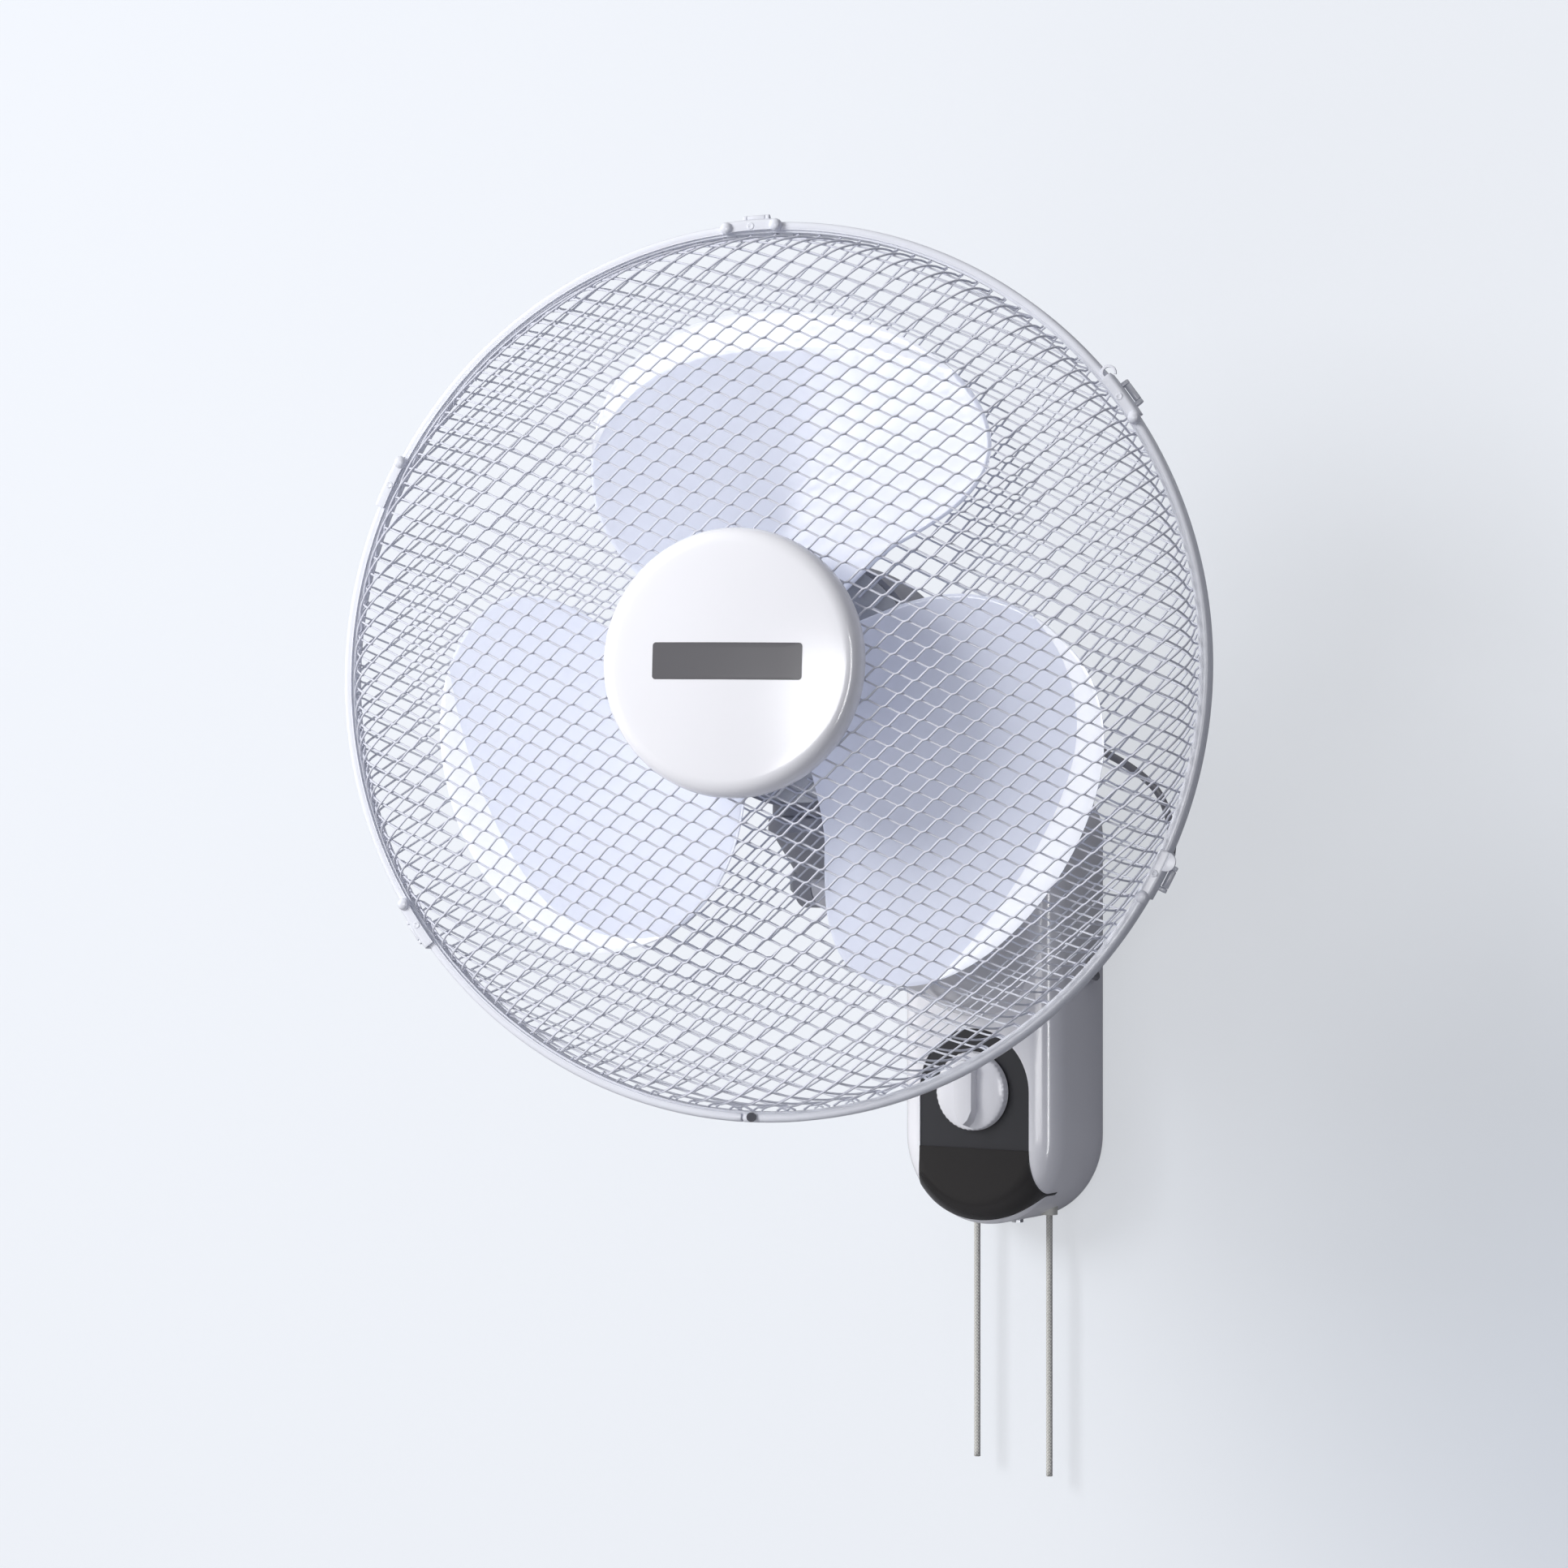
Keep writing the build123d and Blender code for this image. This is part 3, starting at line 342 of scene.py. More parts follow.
def settle(obj, *modifiers):
    """Give an object modifiers, each (kind, settings), and bake them into a plain mesh."""
    for kind, settings in modifiers:
        modifier = obj.modifiers.new(kind.lower(), kind)
        for name, value in settings.items():
            setattr(modifier, name, value)
    graph = bpy.context.evaluated_depsgraph_get()
    graph.update()
    baked = bpy.data.meshes.new_from_object(obj.evaluated_get(graph))
    obj.modifiers.clear()
    obj.data = baked
    return obj


def from_solid(node, material, slot):
    """Merged, smooth copy of a node, which it replaces."""
    mesh = nodes[node].data.copy()
    bm = bmesh.new()
    bm.from_mesh(mesh)
    bmesh.ops.remove_doubles(bm, verts=bm.verts, dist=SAME_CORNER * mm)
    bm.to_mesh(mesh)
    bm.free()
    shade(mesh)
    obj = new_piece(node + "_finish", mesh, material)
    return place_piece(obj, body_of_node[node], slot, node)


print("nodes to dress", len(body_of_node))

# %% [markdown]
# ## The pull cords
#
# Two braided cords hang from the base, one for the speed and one for the swing. A cord is
# a route first: one smooth NURBS line through a few points. It hangs free and plumb, so
# its points lie one under the other, and its end is cut, as on the real fan.
#
# The tube is swept round the points that Blender reads from that line. Its UV map runs
# round the cord and along it, so the braid in the material follows the cord.


# %% Routes and tubes
def nurbs_route(name, points):
    """Points of one smooth NURBS line with the given control points, in millimetres."""
    data = bpy.data.curves.new(name, "CURVE")
    data.dimensions = "3D"
    data.resolution_u = 12
    spline = data.splines.new("NURBS")
    spline.points.add(len(points) - 1)
    for point, (x, y, z) in zip(spline.points, points):
        point.co = (x * mm, y * mm, z * mm, 1.0)
    spline.order_u = 3
    spline.use_endpoint_u = True
    holder = bpy.data.objects.new(name, data)
    bpy.context.scene.collection.objects.link(holder)
    graph = bpy.context.evaluated_depsgraph_get()
    graph.update()
    line = bpy.data.meshes.new_from_object(holder.evaluated_get(graph))
    path = [v.co.copy() for v in line.vertices]
    bpy.data.objects.remove(holder)
    bpy.data.meshes.remove(line)
    return path


def route_length(path):
    """Length of a route."""
    return sum((b - a).length for a, b in zip(path, path[1:]))


def swept_tube(name, path, radius, sides, material):
    """Closed tube along a route, with a UV map round it and along it in millimetres."""
    bm = bmesh.new()
    uv = bm.loops.layers.uv.new("UVMap")
    up = Vector((0, 0, 1)) if abs((path[1] - path[0]).normalized().z) < 0.9 else Vector((1, 0, 0))
    run = 0.0
    rings = []
    for i, point in enumerate(path):
        ahead = path[min(i + 1, len(path) - 1)]
        behind = path[max(i - 1, 0)]
        run += (point - behind).length if i else 0.0
        tangent = (ahead - behind).normalized()
        side = tangent.cross(up).normalized()
        up = side.cross(tangent).normalized()
        ring = []
        for k in range(sides):
            turn = 2 * pi * k / sides
            offset = side * cos(turn) + up * sin(turn)
            ring.append(bm.verts.new(point + offset * radius))
        rings.append((run, ring))
    for (run_a, a), (run_b, b) in zip(rings, rings[1:]):
        for k in range(sides):
            j = (k + 1) % sides
            face = bm.faces.new((a[k], a[j], b[j], b[k]))
            face.smooth = True
            corners = ((k, run_a), (k + 1, run_a), (k + 1, run_b), (k, run_b))
            for loop, (step, along) in zip(face.loops, corners):
                loop[uv].uv = (step / sides, along / mm)
    bm.faces.new(list(reversed(rings[0][1])))
    bm.faces.new(rings[-1][1])
    return new_piece(name, finished_mesh(name, bm), material)


# %% [markdown]
# The braid is two sets of strands that wind the two ways round, over one and under one.
# With u round the cord and v along it, `a` and `b` count the strands of each set. Where
# the whole parts of `a` and `b` add up to an even number the first set is on top, and
# elsewhere the second. A sine across the strand on top rounds it, and the same sine paints
# its edges darker towards the grooves: painted shade. Each strand could be a tube of its
# own, but a braid this thin shows no more for it, so the material draws it.


# %% Braided polyester
def braid(name, colour, dark, strands, pitch_mm):
    """Material of a round braid, from a UV map with v in millimetres."""
    material = bpy.data.materials.new(name)
    tree = cleared(material)
    uv = add(tree, "ShaderNodeUVMap", uv_map="UVMap").outputs["UV"]
    parts = add(tree, "ShaderNodeSeparateXYZ", {"Vector": uv})
    around = add(tree, "ShaderNodeMath", {0: parts.outputs["X"], 1: strands}, operation="MULTIPLY")
    along = add(tree, "ShaderNodeMath", {0: parts.outputs["Y"], 1: pitch_mm}, operation="DIVIDE")
    counts = []
    for way in ("ADD", "SUBTRACT"):
        count = add(
            tree,
            "ShaderNodeMath",
            {0: along.outputs[0], 1: around.outputs[0]},
            operation=way,
        )
        whole = add(tree, "ShaderNodeMath", {0: count.outputs[0]}, operation="FLOOR")
        part = add(tree, "ShaderNodeMath", {0: count.outputs[0]}, operation="FRACT")
        across = add(tree, "ShaderNodeMath", {0: part.outputs[0], 1: pi}, operation="MULTIPLY")
        crown = add(tree, "ShaderNodeMath", {0: across.outputs[0]}, operation="SINE")
        counts.append((whole.outputs[0], crown.outputs[0]))
    total = add(tree, "ShaderNodeMath", {0: counts[0][0], 1: counts[1][0]}, operation="ADD")
    odd = add(tree, "ShaderNodeMath", {0: total.outputs[0], 1: 2.0}, operation="FLOORED_MODULO")
    crown = add(
        tree,
        "ShaderNodeMix",
        {"Factor": odd.outputs[0], 2: counts[0][1], 3: counts[1][1]},
        data_type="FLOAT",
    )
    # Dark where a strand dips into the grooves, light on its crown: painted shade.
    tone = add(
        tree,
        "ShaderNodeMix",
        {"Factor": crown.outputs[0], 6: linear(dark), 7: linear(colour)},
        data_type="RGBA",
    )
    relief = add(
        tree, "ShaderNodeBump", {"Height": crown.outputs[0]}, Strength=0.8, Distance=0.25 * mm
    )
    surface = add(
        tree,
        "ShaderNodeBsdfPrincipled",
        {"Base Color": tone.outputs[2], "Normal": relief.outputs["Normal"]},
        Roughness=0.75,
        Sheen_Weight=0.3,
    )
    add(tree, "ShaderNodeOutputMaterial", {"Surface": surface.outputs["BSDF"]})
    return material


# Undyed polyester: dull and off-white. The grey between the strands is painted shade.
cord_braid = braid("braided_polyester", "#DEDDD8", "#A9A8A2", strands=6.0, pitch_mm=1.8)
print("finish of the cords", cord_braid.name)

# %% Two pull cords
CORD_RADIUS = 1.75
CORD_SIDES = 16
CORD_TOP = -90.0
CORD_Y = -14.0
CORD_RUNS = 5
for node, x, low in (("speed_cord", -22.5, -252.0), ("swing_cord", 22.5, -259.0)):
    levels = [CORD_TOP + (low - CORD_TOP) * k / CORD_RUNS for k in range(CORD_RUNS + 1)]
    route = nurbs_route(node + "_route", [(x, CORD_Y, z) for z in levels])
    cord = swept_tube(node + "_braid", route, CORD_RADIUS * mm, CORD_SIDES, cord_braid)
    place_piece(cord, body_of_node[node], "cord", node)
    print(node, "length", round(route_length(route) / mm, 1), "mm")

# %% [markdown]
# ## The cable from the head to the base
#
# The motor's cable leaves the cover through a relief, bows out beside the head so that
# the head can swing, and goes down into the base. It crosses two joints, the swing and
# the tilt, so it is made in two lengths that meet in the middle of the bow, one for each
# joint. The points are those of the solid's route.

# %% Cable routes and tubes
CABLE_RADIUS = 2.0
CABLE_SIDES = 20
RELIEF_LENGTH = 14
STRAIGHT_RUN = 20
SLANT = radians(45)
head_exit = HEAD @ Vector((55.5 * mm, 60.5 * mm, -20 * mm))
exit_way = (HEAD.to_3x3() @ Vector((cos(SLANT), sin(SLANT), 0))).normalized()
cable_leave = (head_exit + exit_way * RELIEF_LENGTH * mm) / mm
cable_leave_on = cable_leave + exit_way * STRAIGHT_RUN
cable_split = (131.25, -84.4, 96.4)
entry = Vector((48.0, -17.0, 17.0))
entry_way = Vector((cos(SLANT), 0, sin(SLANT)))
cable_enter = entry + entry_way * RELIEF_LENGTH
cable_enter_on = cable_enter + entry_way * STRAIGHT_RUN
upper_points = [
    tuple(cable_leave),
    tuple(cable_leave_on),
    (80.0, -106.5, 143.0),
    (101.0, -104.0, 136.0),
    (120.0, -99.0, 125.0),
    (132.3, -92.5, 111.0),
    cable_split,
]
lower_points = [
    cable_split,
    (130.2, -76.3, 81.8),
    (114.5, -67.0, 70.0),
    (100.0, -52.0, 60.0),
    (86.0, -35.0, 50.0),
    tuple(cable_enter_on),
    tuple(cable_enter),
]
for node, points, pair in (
    ("link_cable_upper", upper_points, ("knuckle", "head")),
    ("link_cable_lower", lower_points, ("base", "knuckle")),
):
    route = nurbs_route(node + "_route", points)
    name = node + "_sheath"
    tube = swept_tube(name, route, CABLE_RADIUS * mm, CABLE_SIDES, cable_sheath)
    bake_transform(tube)
    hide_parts(node)
    print(node, "length", round(route_length(route) / mm, 1), "mm")

# %% [markdown]
# ## Light, wall and floor
#
# The light comes from above and from the front, a little from the left: the wires are
# white above and lilac-grey below, the cap throws a soft shadow down to the right on the
# blade, and the right side of the base is grey.
#
# The world is white overhead and grows dim and lilac towards the ground, because light
# that has met a floor is weaker. The lamps share the rest of the work. Two light matt
# surfaces only: a strong one gives the shadow and a weak one lifts it from below. Three
# show as reflections only: a broad one in the cap and the knob, a dim one at the left of
# the rim, and a tall narrow one as an upright streak on the base. A lamp that did both
# would burn out the blade whose sheet mirrors it.

# %% The world
AMBIENT = 0.6
# The bright side of the world lies above and to the left.
BRIGHT_SIDE = (-0.75, 0.0, 1.0)
world = bpy.data.worlds.new("studio")
bpy.context.scene.world = world
tree = cleared(world)
rays = add(tree, "ShaderNodeLightPath")
seen = add(
    tree,
    "ShaderNodeMath",
    {0: rays.outputs["Is Camera Ray"], 1: rays.outputs["Is Transmission Ray"]},
    operation="MAXIMUM",
)
way = add(tree, "ShaderNodeTexCoord").outputs["Generated"]
way = add(tree, "ShaderNodeVectorMath", {0: way, 1: BRIGHT_SIDE}, operation="DOT_PRODUCT")
overhead = add(
    tree, "ShaderNodeMapRange", {"Value": way.outputs["Value"]}, From_Min=-0.9, From_Max=0.9
)
sky = add(
    tree,
    "ShaderNodeMix",
    {"Factor": overhead, 6: linear("#64687A"), 7: linear("#FFFFFF")},
    data_type="RGBA",
)
ambient = add(tree, "ShaderNodeBackground", {"Color": sky.outputs[2]}, Strength=AMBIENT)
backdrop = add(tree, "ShaderNodeBackground", Color=linear("#F7F8FB"), Strength=1.0)
both = add(tree, "ShaderNodeMixShader", {0: seen, 1: ambient, 2: backdrop})
add(tree, "ShaderNodeOutputWorld", {"Surface": both})
print("world strength", AMBIENT)


# %% Lamps
def lamp(name, place, target, size, power, seen_by, tall=None):
    """White area lamp at a place in metres, turned to a target and seen by some rays only."""
    data = bpy.data.lights.new(name, "AREA")
    data.shape = "RECTANGLE"
    data.size = size
    data.size_y = tall or size
    data.energy = power
    obj = bpy.data.objects.new(name, data)
    obj.location = place
    obj.rotation_mode = "QUATERNION"
    obj.rotation_quaternion = (Vector(target) - Vector(place)).to_track_quat("-Z", "Y")
    obj.visible_camera = False
    obj.visible_diffuse = "diffuse" in seen_by
    obj.visible_glossy = "glossy" in seen_by
    bpy.context.scene.collection.objects.link(obj)
    return obj


head_middle = (0.02, -0.28, 0.17)
lamp("upper_left_light", (-1.25, -2.45, 1.1), head_middle, 1.1, 62.0, "diffuse")
lamp("low_front_light", (-0.7, -2.3, -0.7), (0.0, -0.1, -0.05), 1.2, 7.0, "diffuse")
lamp("front_gleam", (0.71, -2.11, 0.10), (0.03, -0.29, 0.28), 1.0, 18.0, "glossy", 0.7)
lamp("left_gleam", (-2.2, -1.4, 0.3), head_middle, 0.5, 3.0, "glossy", 1.8)
lamp("upright_gleam", (1.9, -1.15, 0.0), (0.0, -0.05, -0.05), 0.14, 16.0, "glossy", 1.6)
print("lamps", len(bpy.data.lights))

# %% [markdown]
# The wall and the floor are one sheet, bent in a hollow where they meet. The camera sees
# the paint with a glow of its own, so it comes out pale without more light on the fan, and
# its tone changes slowly with the distance from a point low on the right: a painted shadow,
# darkest at that point. Other rays see a plain grey, so that the wall throws little light
# back on the fan's rear. Seen from behind the sheet is clear, which opens the view of the
# wall plate.

# %% Paint of the wall
GRAIN = 3.0
WALL_GLOW = 0.58
# A painted shadow on the wall: darkest at this point, gone at this distance from it.
PAINTED_SHADOW_CENTRE = (0.40, 0.0, -0.22)
PAINTED_SHADOW_REACH = 0.44
wall_material = bpy.data.materials.new("pale_wall_paint")
tree = cleared(wall_material)
place = add(tree, "ShaderNodeTexCoord").outputs["Object"]
grain = add(tree, "ShaderNodeTexNoise", {"Vector": place}, Scale=1 / (GRAIN * mm), Detail=4.0)
relief = add(
    tree, "ShaderNodeBump", {"Height": grain.outputs["Fac"]}, Strength=0.05, Distance=0.3 * mm
)
rays = add(tree, "ShaderNodeLightPath").outputs["Is Camera Ray"]
glow = add(tree, "ShaderNodeMath", {0: rays, 1: WALL_GLOW}, operation="MULTIPLY")
far = add(
    tree,
    "ShaderNodeVectorMath",
    {0: place, 1: PAINTED_SHADOW_CENTRE},
    operation="DISTANCE",
)
far = add(
    tree,
    "ShaderNodeMapRange",
    {"Value": far.outputs["Value"]},
    interpolation_type="SMOOTHSTEP",
    From_Max=PAINTED_SHADOW_REACH,
)
# The paint the camera sees is darker near that point: painted shadow.
paint_with_painted_shadow = add(
    tree,
    "ShaderNodeMix",
    {"Factor": far, 6: linear("#888C93"), 7: linear("#93969C")},
    data_type="RGBA",
)
# The glow is dimmer near that point too: painted shadow.
shine = add(
    tree,
    "ShaderNodeMix",
    {"Factor": far, 6: linear("#D3D8E0"), 7: linear("#F4F7FB")},
    data_type="RGBA",
)
tone = add(
    tree,
    "ShaderNodeMix",
    {"Factor": rays, 6: linear("#9A9BA0"), 7: paint_with_painted_shadow.outputs[2]},
    data_type="RGBA",
)
paint = add(
    tree,
    "ShaderNodeBsdfPrincipled",
    {
        "Normal": relief.outputs["Normal"],
        "Base Color": tone.outputs[2],
        "Emission Color": shine.outputs[2],
        "Emission Strength": glow,
    },
    Roughness=0.9,
)
clear = add(tree, "ShaderNodeBsdfTransparent")
side = add(tree, "ShaderNodeNewGeometry")
both = add(
    tree,
    "ShaderNodeMixShader",
    {0: side.outputs["Backfacing"], 1: paint.outputs[0], 2: clear.outputs[0]},
)
add(tree, "ShaderNodeOutputMaterial", {"Surface": both.outputs[0]})

# %% Wall and floor
STAGE_HALF = 4.0
FLOOR = -1.6
WALL_Y = 0.001
# The wall stands a millimetre behind the fan's back face, so the two never share a plane.
section = [(FLOOR, -2.6), (FLOOR, -0.25), (-1.55, -0.06), (-1.35, WALL_Y), (3.0, WALL_Y)]
bm = bmesh.new()
columns = [[bm.verts.new((x, y, z)) for z, y in section] for x in (-STAGE_HALF, STAGE_HALF)]
for i in range(len(section) - 1):
    bm.faces.new((columns[0][i], columns[1][i], columns[1][i + 1], columns[0][i + 1]))
sweep_mesh = finished_mesh("wall_and_floor", bm, outward=False)
for polygon in sweep_mesh.polygons:
    polygon.use_smooth = True
sweep = new_piece("wall_and_floor", sweep_mesh, wall_material)
print("wall faces", [tuple(round(c, 2) for c in p.normal) for p in sweep_mesh.polygons][-1])

# %% [markdown]
# ## The guard's mesh
#
# The real guard is made flat: two layers of straight wires are welded where they cross,
# and the flat mesh is then pressed into a dome. Pressing bends the wires down but hardly
# stretches them, so a wire keeps its length out from the middle. That is why the cells
# look crowded and turn along the rim in the picture. Straight wires laid down on a dome
# from the front would keep one width of cell all over, and look wrong there.
#
# The tree does what the press does. It lays out the points of a flat mesh, measures how far each is
# from the middle, and goes that far along the dome's outline, which is one curve. The
# curve's own slope says which way is outward, so a layer can be lifted by half a wire.
# Between two welds a pressed wire runs a little askew; the tree gives each cell a kink.
#
# The dome's outline is flat in the middle and falls off in one curve. The front one is
# nearly a cone down to a tight shoulder, so there the lesser of curve and cone counts,
# with a soft change between them.
#
# One tree makes all four layers; only its inputs differ.

# %% Outline of a dome
PLANE = 90.0
BAND_MIDDLE = 2.4
FLAT_RADIUS = 62.0
MESH_EDGE = 210.3
MESH_END = 212.5
FRONT_DOME = 50.0
REAR_DOME = 55.6
FRONT_FULLNESS = 0.42
REAR_FULLNESS = 0.75
CONE_TOP = 79.6
CONE_SLOPE = 0.28
CONE_BLEND = 2.0


def dome_height(r, height, fullness):
    """Height of a dome above the rim plane at a radius; a low fullness gives a tight shoulder."""
    t = min(max((r - FLAT_RADIUS) / (MESH_EDGE - FLAT_RADIUS), 0.0), 1.0)
    return BAND_MIDDLE + (height - BAND_MIDDLE) * (1 - t * t) ** fullness


def front_height(r):
    """Height of the front dome: the soft lesser of its curve and a cone."""
    dome = dome_height(r, FRONT_DOME, FRONT_FULLNESS)
    cone = CONE_TOP - CONE_SLOPE * r
    return -CONE_BLEND * log(exp(-dome / CONE_BLEND) + exp(-cone / CONE_BLEND))


def dome_outline(sign):
    """Points (radius, distance in front of the pivot) of the front (1) or rear (-1) dome."""
    span = MESH_EDGE - FLAT_RADIUS
    radii = [0.0] + [FLAT_RADIUS + span * sin(pi / 2 * k / 90) for k in range(91)] + [MESH_END]
    if sign == 1:
        return [(r, PLANE + front_height(r)) for r in radii]
    return [(r, PLANE - dome_height(r, REAR_DOME, REAR_FULLNESS)) for r in radii]


print("rim plane", PLANE, "front", round(front_height(0.0), 1), "rear", REAR_DOME)

# %% [markdown]
# Three helpers make the other shapes of the head: a profile turned about the motor's axis,
# a prism over an outline, and one mesh from several.


# %% Turned and straight forms
# An edge shorter than this, in millimetres, is none.
NO_EDGE = 0.001


def turned_mesh(name, profile, steps=128, closed=True, start=0.0, sweep=360.0, ripple=None):
    """Mesh turned about local Y from points (radius, distance in front); angles in degrees."""
    bm = bmesh.new()
    full = sweep > 359.99
    rings = []
    for k in range(steps if full else steps + 1):
        turn = radians(start + sweep * k / steps)
        ring = []
        for r, d in profile:
            r = ripple(turn, r, d) if ripple else r
            ring.append(bm.verts.new((r * mm * cos(turn), -d * mm, r * mm * sin(turn))))
        rings.append(ring)
    count = len(profile)
    for a, b in zip(rings, rings[1:] + rings[:1] if full else rings[1:]):
        for j in range(count if closed else count - 1):
            i = (j + 1) % count
            bm.faces.new((a[j], a[i], b[i], b[j]))
    if not full:
        bm.faces.new(rings[0])
        bm.faces.new(rings[-1])
    bmesh.ops.remove_doubles(bm, verts=bm.verts, dist=NO_EDGE * mm)
    bmesh.ops.dissolve_degenerate(bm, edges=bm.edges, dist=NO_EDGE * mm)
    return finished_mesh(name, bm)


def prism(name, outline, low, high, top_scale=1.0):
    """Mesh between two heights along local Z over an outline in local X and Y."""
    bm = bmesh.new()
    rings = [
        [bm.verts.new((x * scale * mm, y * scale * mm, z * mm)) for x, y in outline]
        for z, scale in ((low, 1.0), (high, top_scale))
    ]
    count = len(outline)
    for j in range(count):
        i = (j + 1) % count
        bm.faces.new((rings[0][j], rings[0][i], rings[1][i], rings[1][j]))
    bm.faces.new(rings[0])
    bm.faces.new(rings[1])
    return finished_mesh(name, bm)


def join_meshes(name, parts):
    """One mesh from several, each with a matrix that carries it to its place."""
    bm = bmesh.new()
    for mesh, place in parts:
        mesh.transform(place)
        bm.from_mesh(mesh)
        bpy.data.meshes.remove(mesh)
    return finished_mesh(name, bm, outward=False)


# %% Geometry Nodes: the tree and its inputs
press = bpy.data.node_groups.new("pressed_wire_layer", "GeometryNodeTree")
press.interface.new_socket("Geometry", in_out="OUTPUT", socket_type="NodeSocketGeometry")
PRESS_INPUTS = {
    "Outline": "Object",
    "Coating": "Material",
    "Lines": "Int",
    "Cells": "Int",
    "Pitch": "Float",
    "Crossing angle": "Float",
    "Line angle": "Float",
    "End length": "Float",
    "Hole radius": "Float",
    "Lift": "Float",
    "Kink": "Float",
    "Wire radius": "Float",
}
sockets = {
    label: press.interface.new_socket(
        label, in_out="INPUT", socket_type="NodeSocket" + kind
    ).identifier
    for label, kind in PRESS_INPUTS.items()
}
given = add(press, "NodeGroupInput").outputs
print("inputs of the tree", len(PRESS_INPUTS))

# %% Geometry Nodes: a flat mesh
# A row of points for one wire, four to a cell, and one row for each wire.
QUARTERS = 4.0
per_line = add(press, "ShaderNodeMath", {0: given["Cells"], 1: QUARTERS}, operation="MULTIPLY")
line = add(press, "GeometryNodeMeshLine", {"Count": per_line}, mode="OFFSET")
starts = add(press, "GeometryNodeMeshLine", {"Count": given["Lines"]}, mode="OFFSET")
rows = add(press, "GeometryNodeInstanceOnPoints", {"Points": starts, "Instance": line})
laid = add(press, "GeometryNodeRealizeInstances", {"Geometry": rows})
print("nodes so far", len(press.nodes))

# %% Geometry Nodes: where a point lies
# Counting says which wire, which cell and which quarter of the cell a point is.
count = add(press, "GeometryNodeInputIndex")
row = add(press, "ShaderNodeMath", {0: count, 1: per_line}, operation="DIVIDE")
row = add(press, "ShaderNodeMath", {0: row}, operation="FLOOR")
spot = add(press, "ShaderNodeMath", {0: count, 1: per_line}, operation="MODULO")
cell = add(press, "ShaderNodeMath", {0: spot, 1: QUARTERS}, operation="DIVIDE")
cell = add(press, "ShaderNodeMath", {0: cell}, operation="FLOOR")
quarter = add(press, "ShaderNodeMath", {0: spot, 1: QUARTERS}, operation="MODULO")

# The wire's distance from the middle, and the point's place along it. A cell's first and
# last points stand a little off the welds.
OFF_WELD = 0.11
middle = add(press, "ShaderNodeMath", {0: given["Lines"], 1: 1.0}, operation="SUBTRACT")
middle = add(press, "ShaderNodeMath", {0: middle, 1: 0.5}, operation="MULTIPLY")
offset = add(press, "ShaderNodeMath", {0: row, 1: middle}, operation="SUBTRACT")
offset = add(press, "ShaderNodeMath", {0: offset, 1: given["Pitch"]}, operation="MULTIPLY")
within = add(
    press,
    "ShaderNodeMapRange",
    {"Value": quarter, "To Min": OFF_WELD, "To Max": 1 - OFF_WELD},
    From_Max=QUARTERS - 1,
)
half_cells = add(press, "ShaderNodeMath", {0: given["Cells"], 1: 0.5}, operation="MULTIPLY")
along = add(press, "ShaderNodeMath", {0: cell, 1: within}, operation="ADD")
along = add(press, "ShaderNodeMath", {0: along, 1: half_cells}, operation="SUBTRACT")
along = add(press, "ShaderNodeMath", {0: along, 1: 0.5}, operation="ADD")
along = add(press, "ShaderNodeMath", {0: along, 1: given["Pitch"]}, operation="MULTIPLY")
cosine = add(press, "ShaderNodeMath", {0: given["Crossing angle"]}, operation="COSINE")
sine = add(press, "ShaderNodeMath", {0: given["Crossing angle"]}, operation="SINE")
along = add(
    press, "ShaderNodeMath", {0: offset, 1: cosine, 2: along}, operation="MULTIPLY_ADD"
)
along = add(press, "ShaderNodeMath", {0: along, 1: sine}, operation="DIVIDE")

print("nodes so far", len(press.nodes))

# %% Geometry Nodes: where a wire ends
# Half the wire's length follows from its distance, and its points stay within that.
square = add(press, "ShaderNodeMath", {0: offset, 1: 2.0}, operation="POWER")
reach = add(press, "ShaderNodeMath", {0: given["End length"], 1: 2.0}, operation="POWER")
reach = add(press, "ShaderNodeMath", {0: reach, 1: square}, operation="SUBTRACT")
reach = add(press, "ShaderNodeMath", {0: reach, 1: 0.0}, operation="MAXIMUM")
reach = add(press, "ShaderNodeMath", {0: reach}, operation="SQRT")
back = add(press, "ShaderNodeMath", {0: reach, 1: -1.0}, operation="MULTIPLY")
kept = add(press, "ShaderNodeClamp", {"Value": along, "Min": back, "Max": reach})
far = add(press, "ShaderNodeMath", {0: along}, operation="ABSOLUTE")
free = add(press, "ShaderNodeMath", {0: far, 1: reach}, operation="LESS_THAN")

print("nodes so far", len(press.nodes))

# %% Geometry Nodes: the kink
# Across the wire, from one side to the other inside each cell. The kink fades towards
# the rim, where the pressing has pulled the wires straight.
FADE_FROM, FADE_TO = 0.74, 0.92
KINK_LEFT = 0.15
askew = add(
    press,
    "ShaderNodeMapRange",
    {"Value": quarter, "To Min": -1.0, "To Max": 1.0},
    From_Max=QUARTERS - 1,
)
askew = add(press, "ShaderNodeMath", {0: askew, 1: given["Kink"]}, operation="MULTIPLY")
unbent = add(press, "ShaderNodeCombineXYZ", {"X": kept, "Z": offset})
unbent = add(press, "ShaderNodeVectorMath", {0: unbent}, operation="LENGTH")
share = add(
    press,
    "ShaderNodeMath",
    {0: unbent.outputs["Value"], 1: given["End length"]},
    operation="DIVIDE",
)
fade = add(
    press,
    "ShaderNodeMapRange",
    {"Value": share, "To Min": 1.0, "To Max": KINK_LEFT},
    From_Min=FADE_FROM,
    From_Max=FADE_TO,
)
askew = add(press, "ShaderNodeMath", {0: askew, 1: fade}, operation="MULTIPLY")
askew = add(press, "ShaderNodeMath", {0: askew, 1: free}, operation="MULTIPLY")
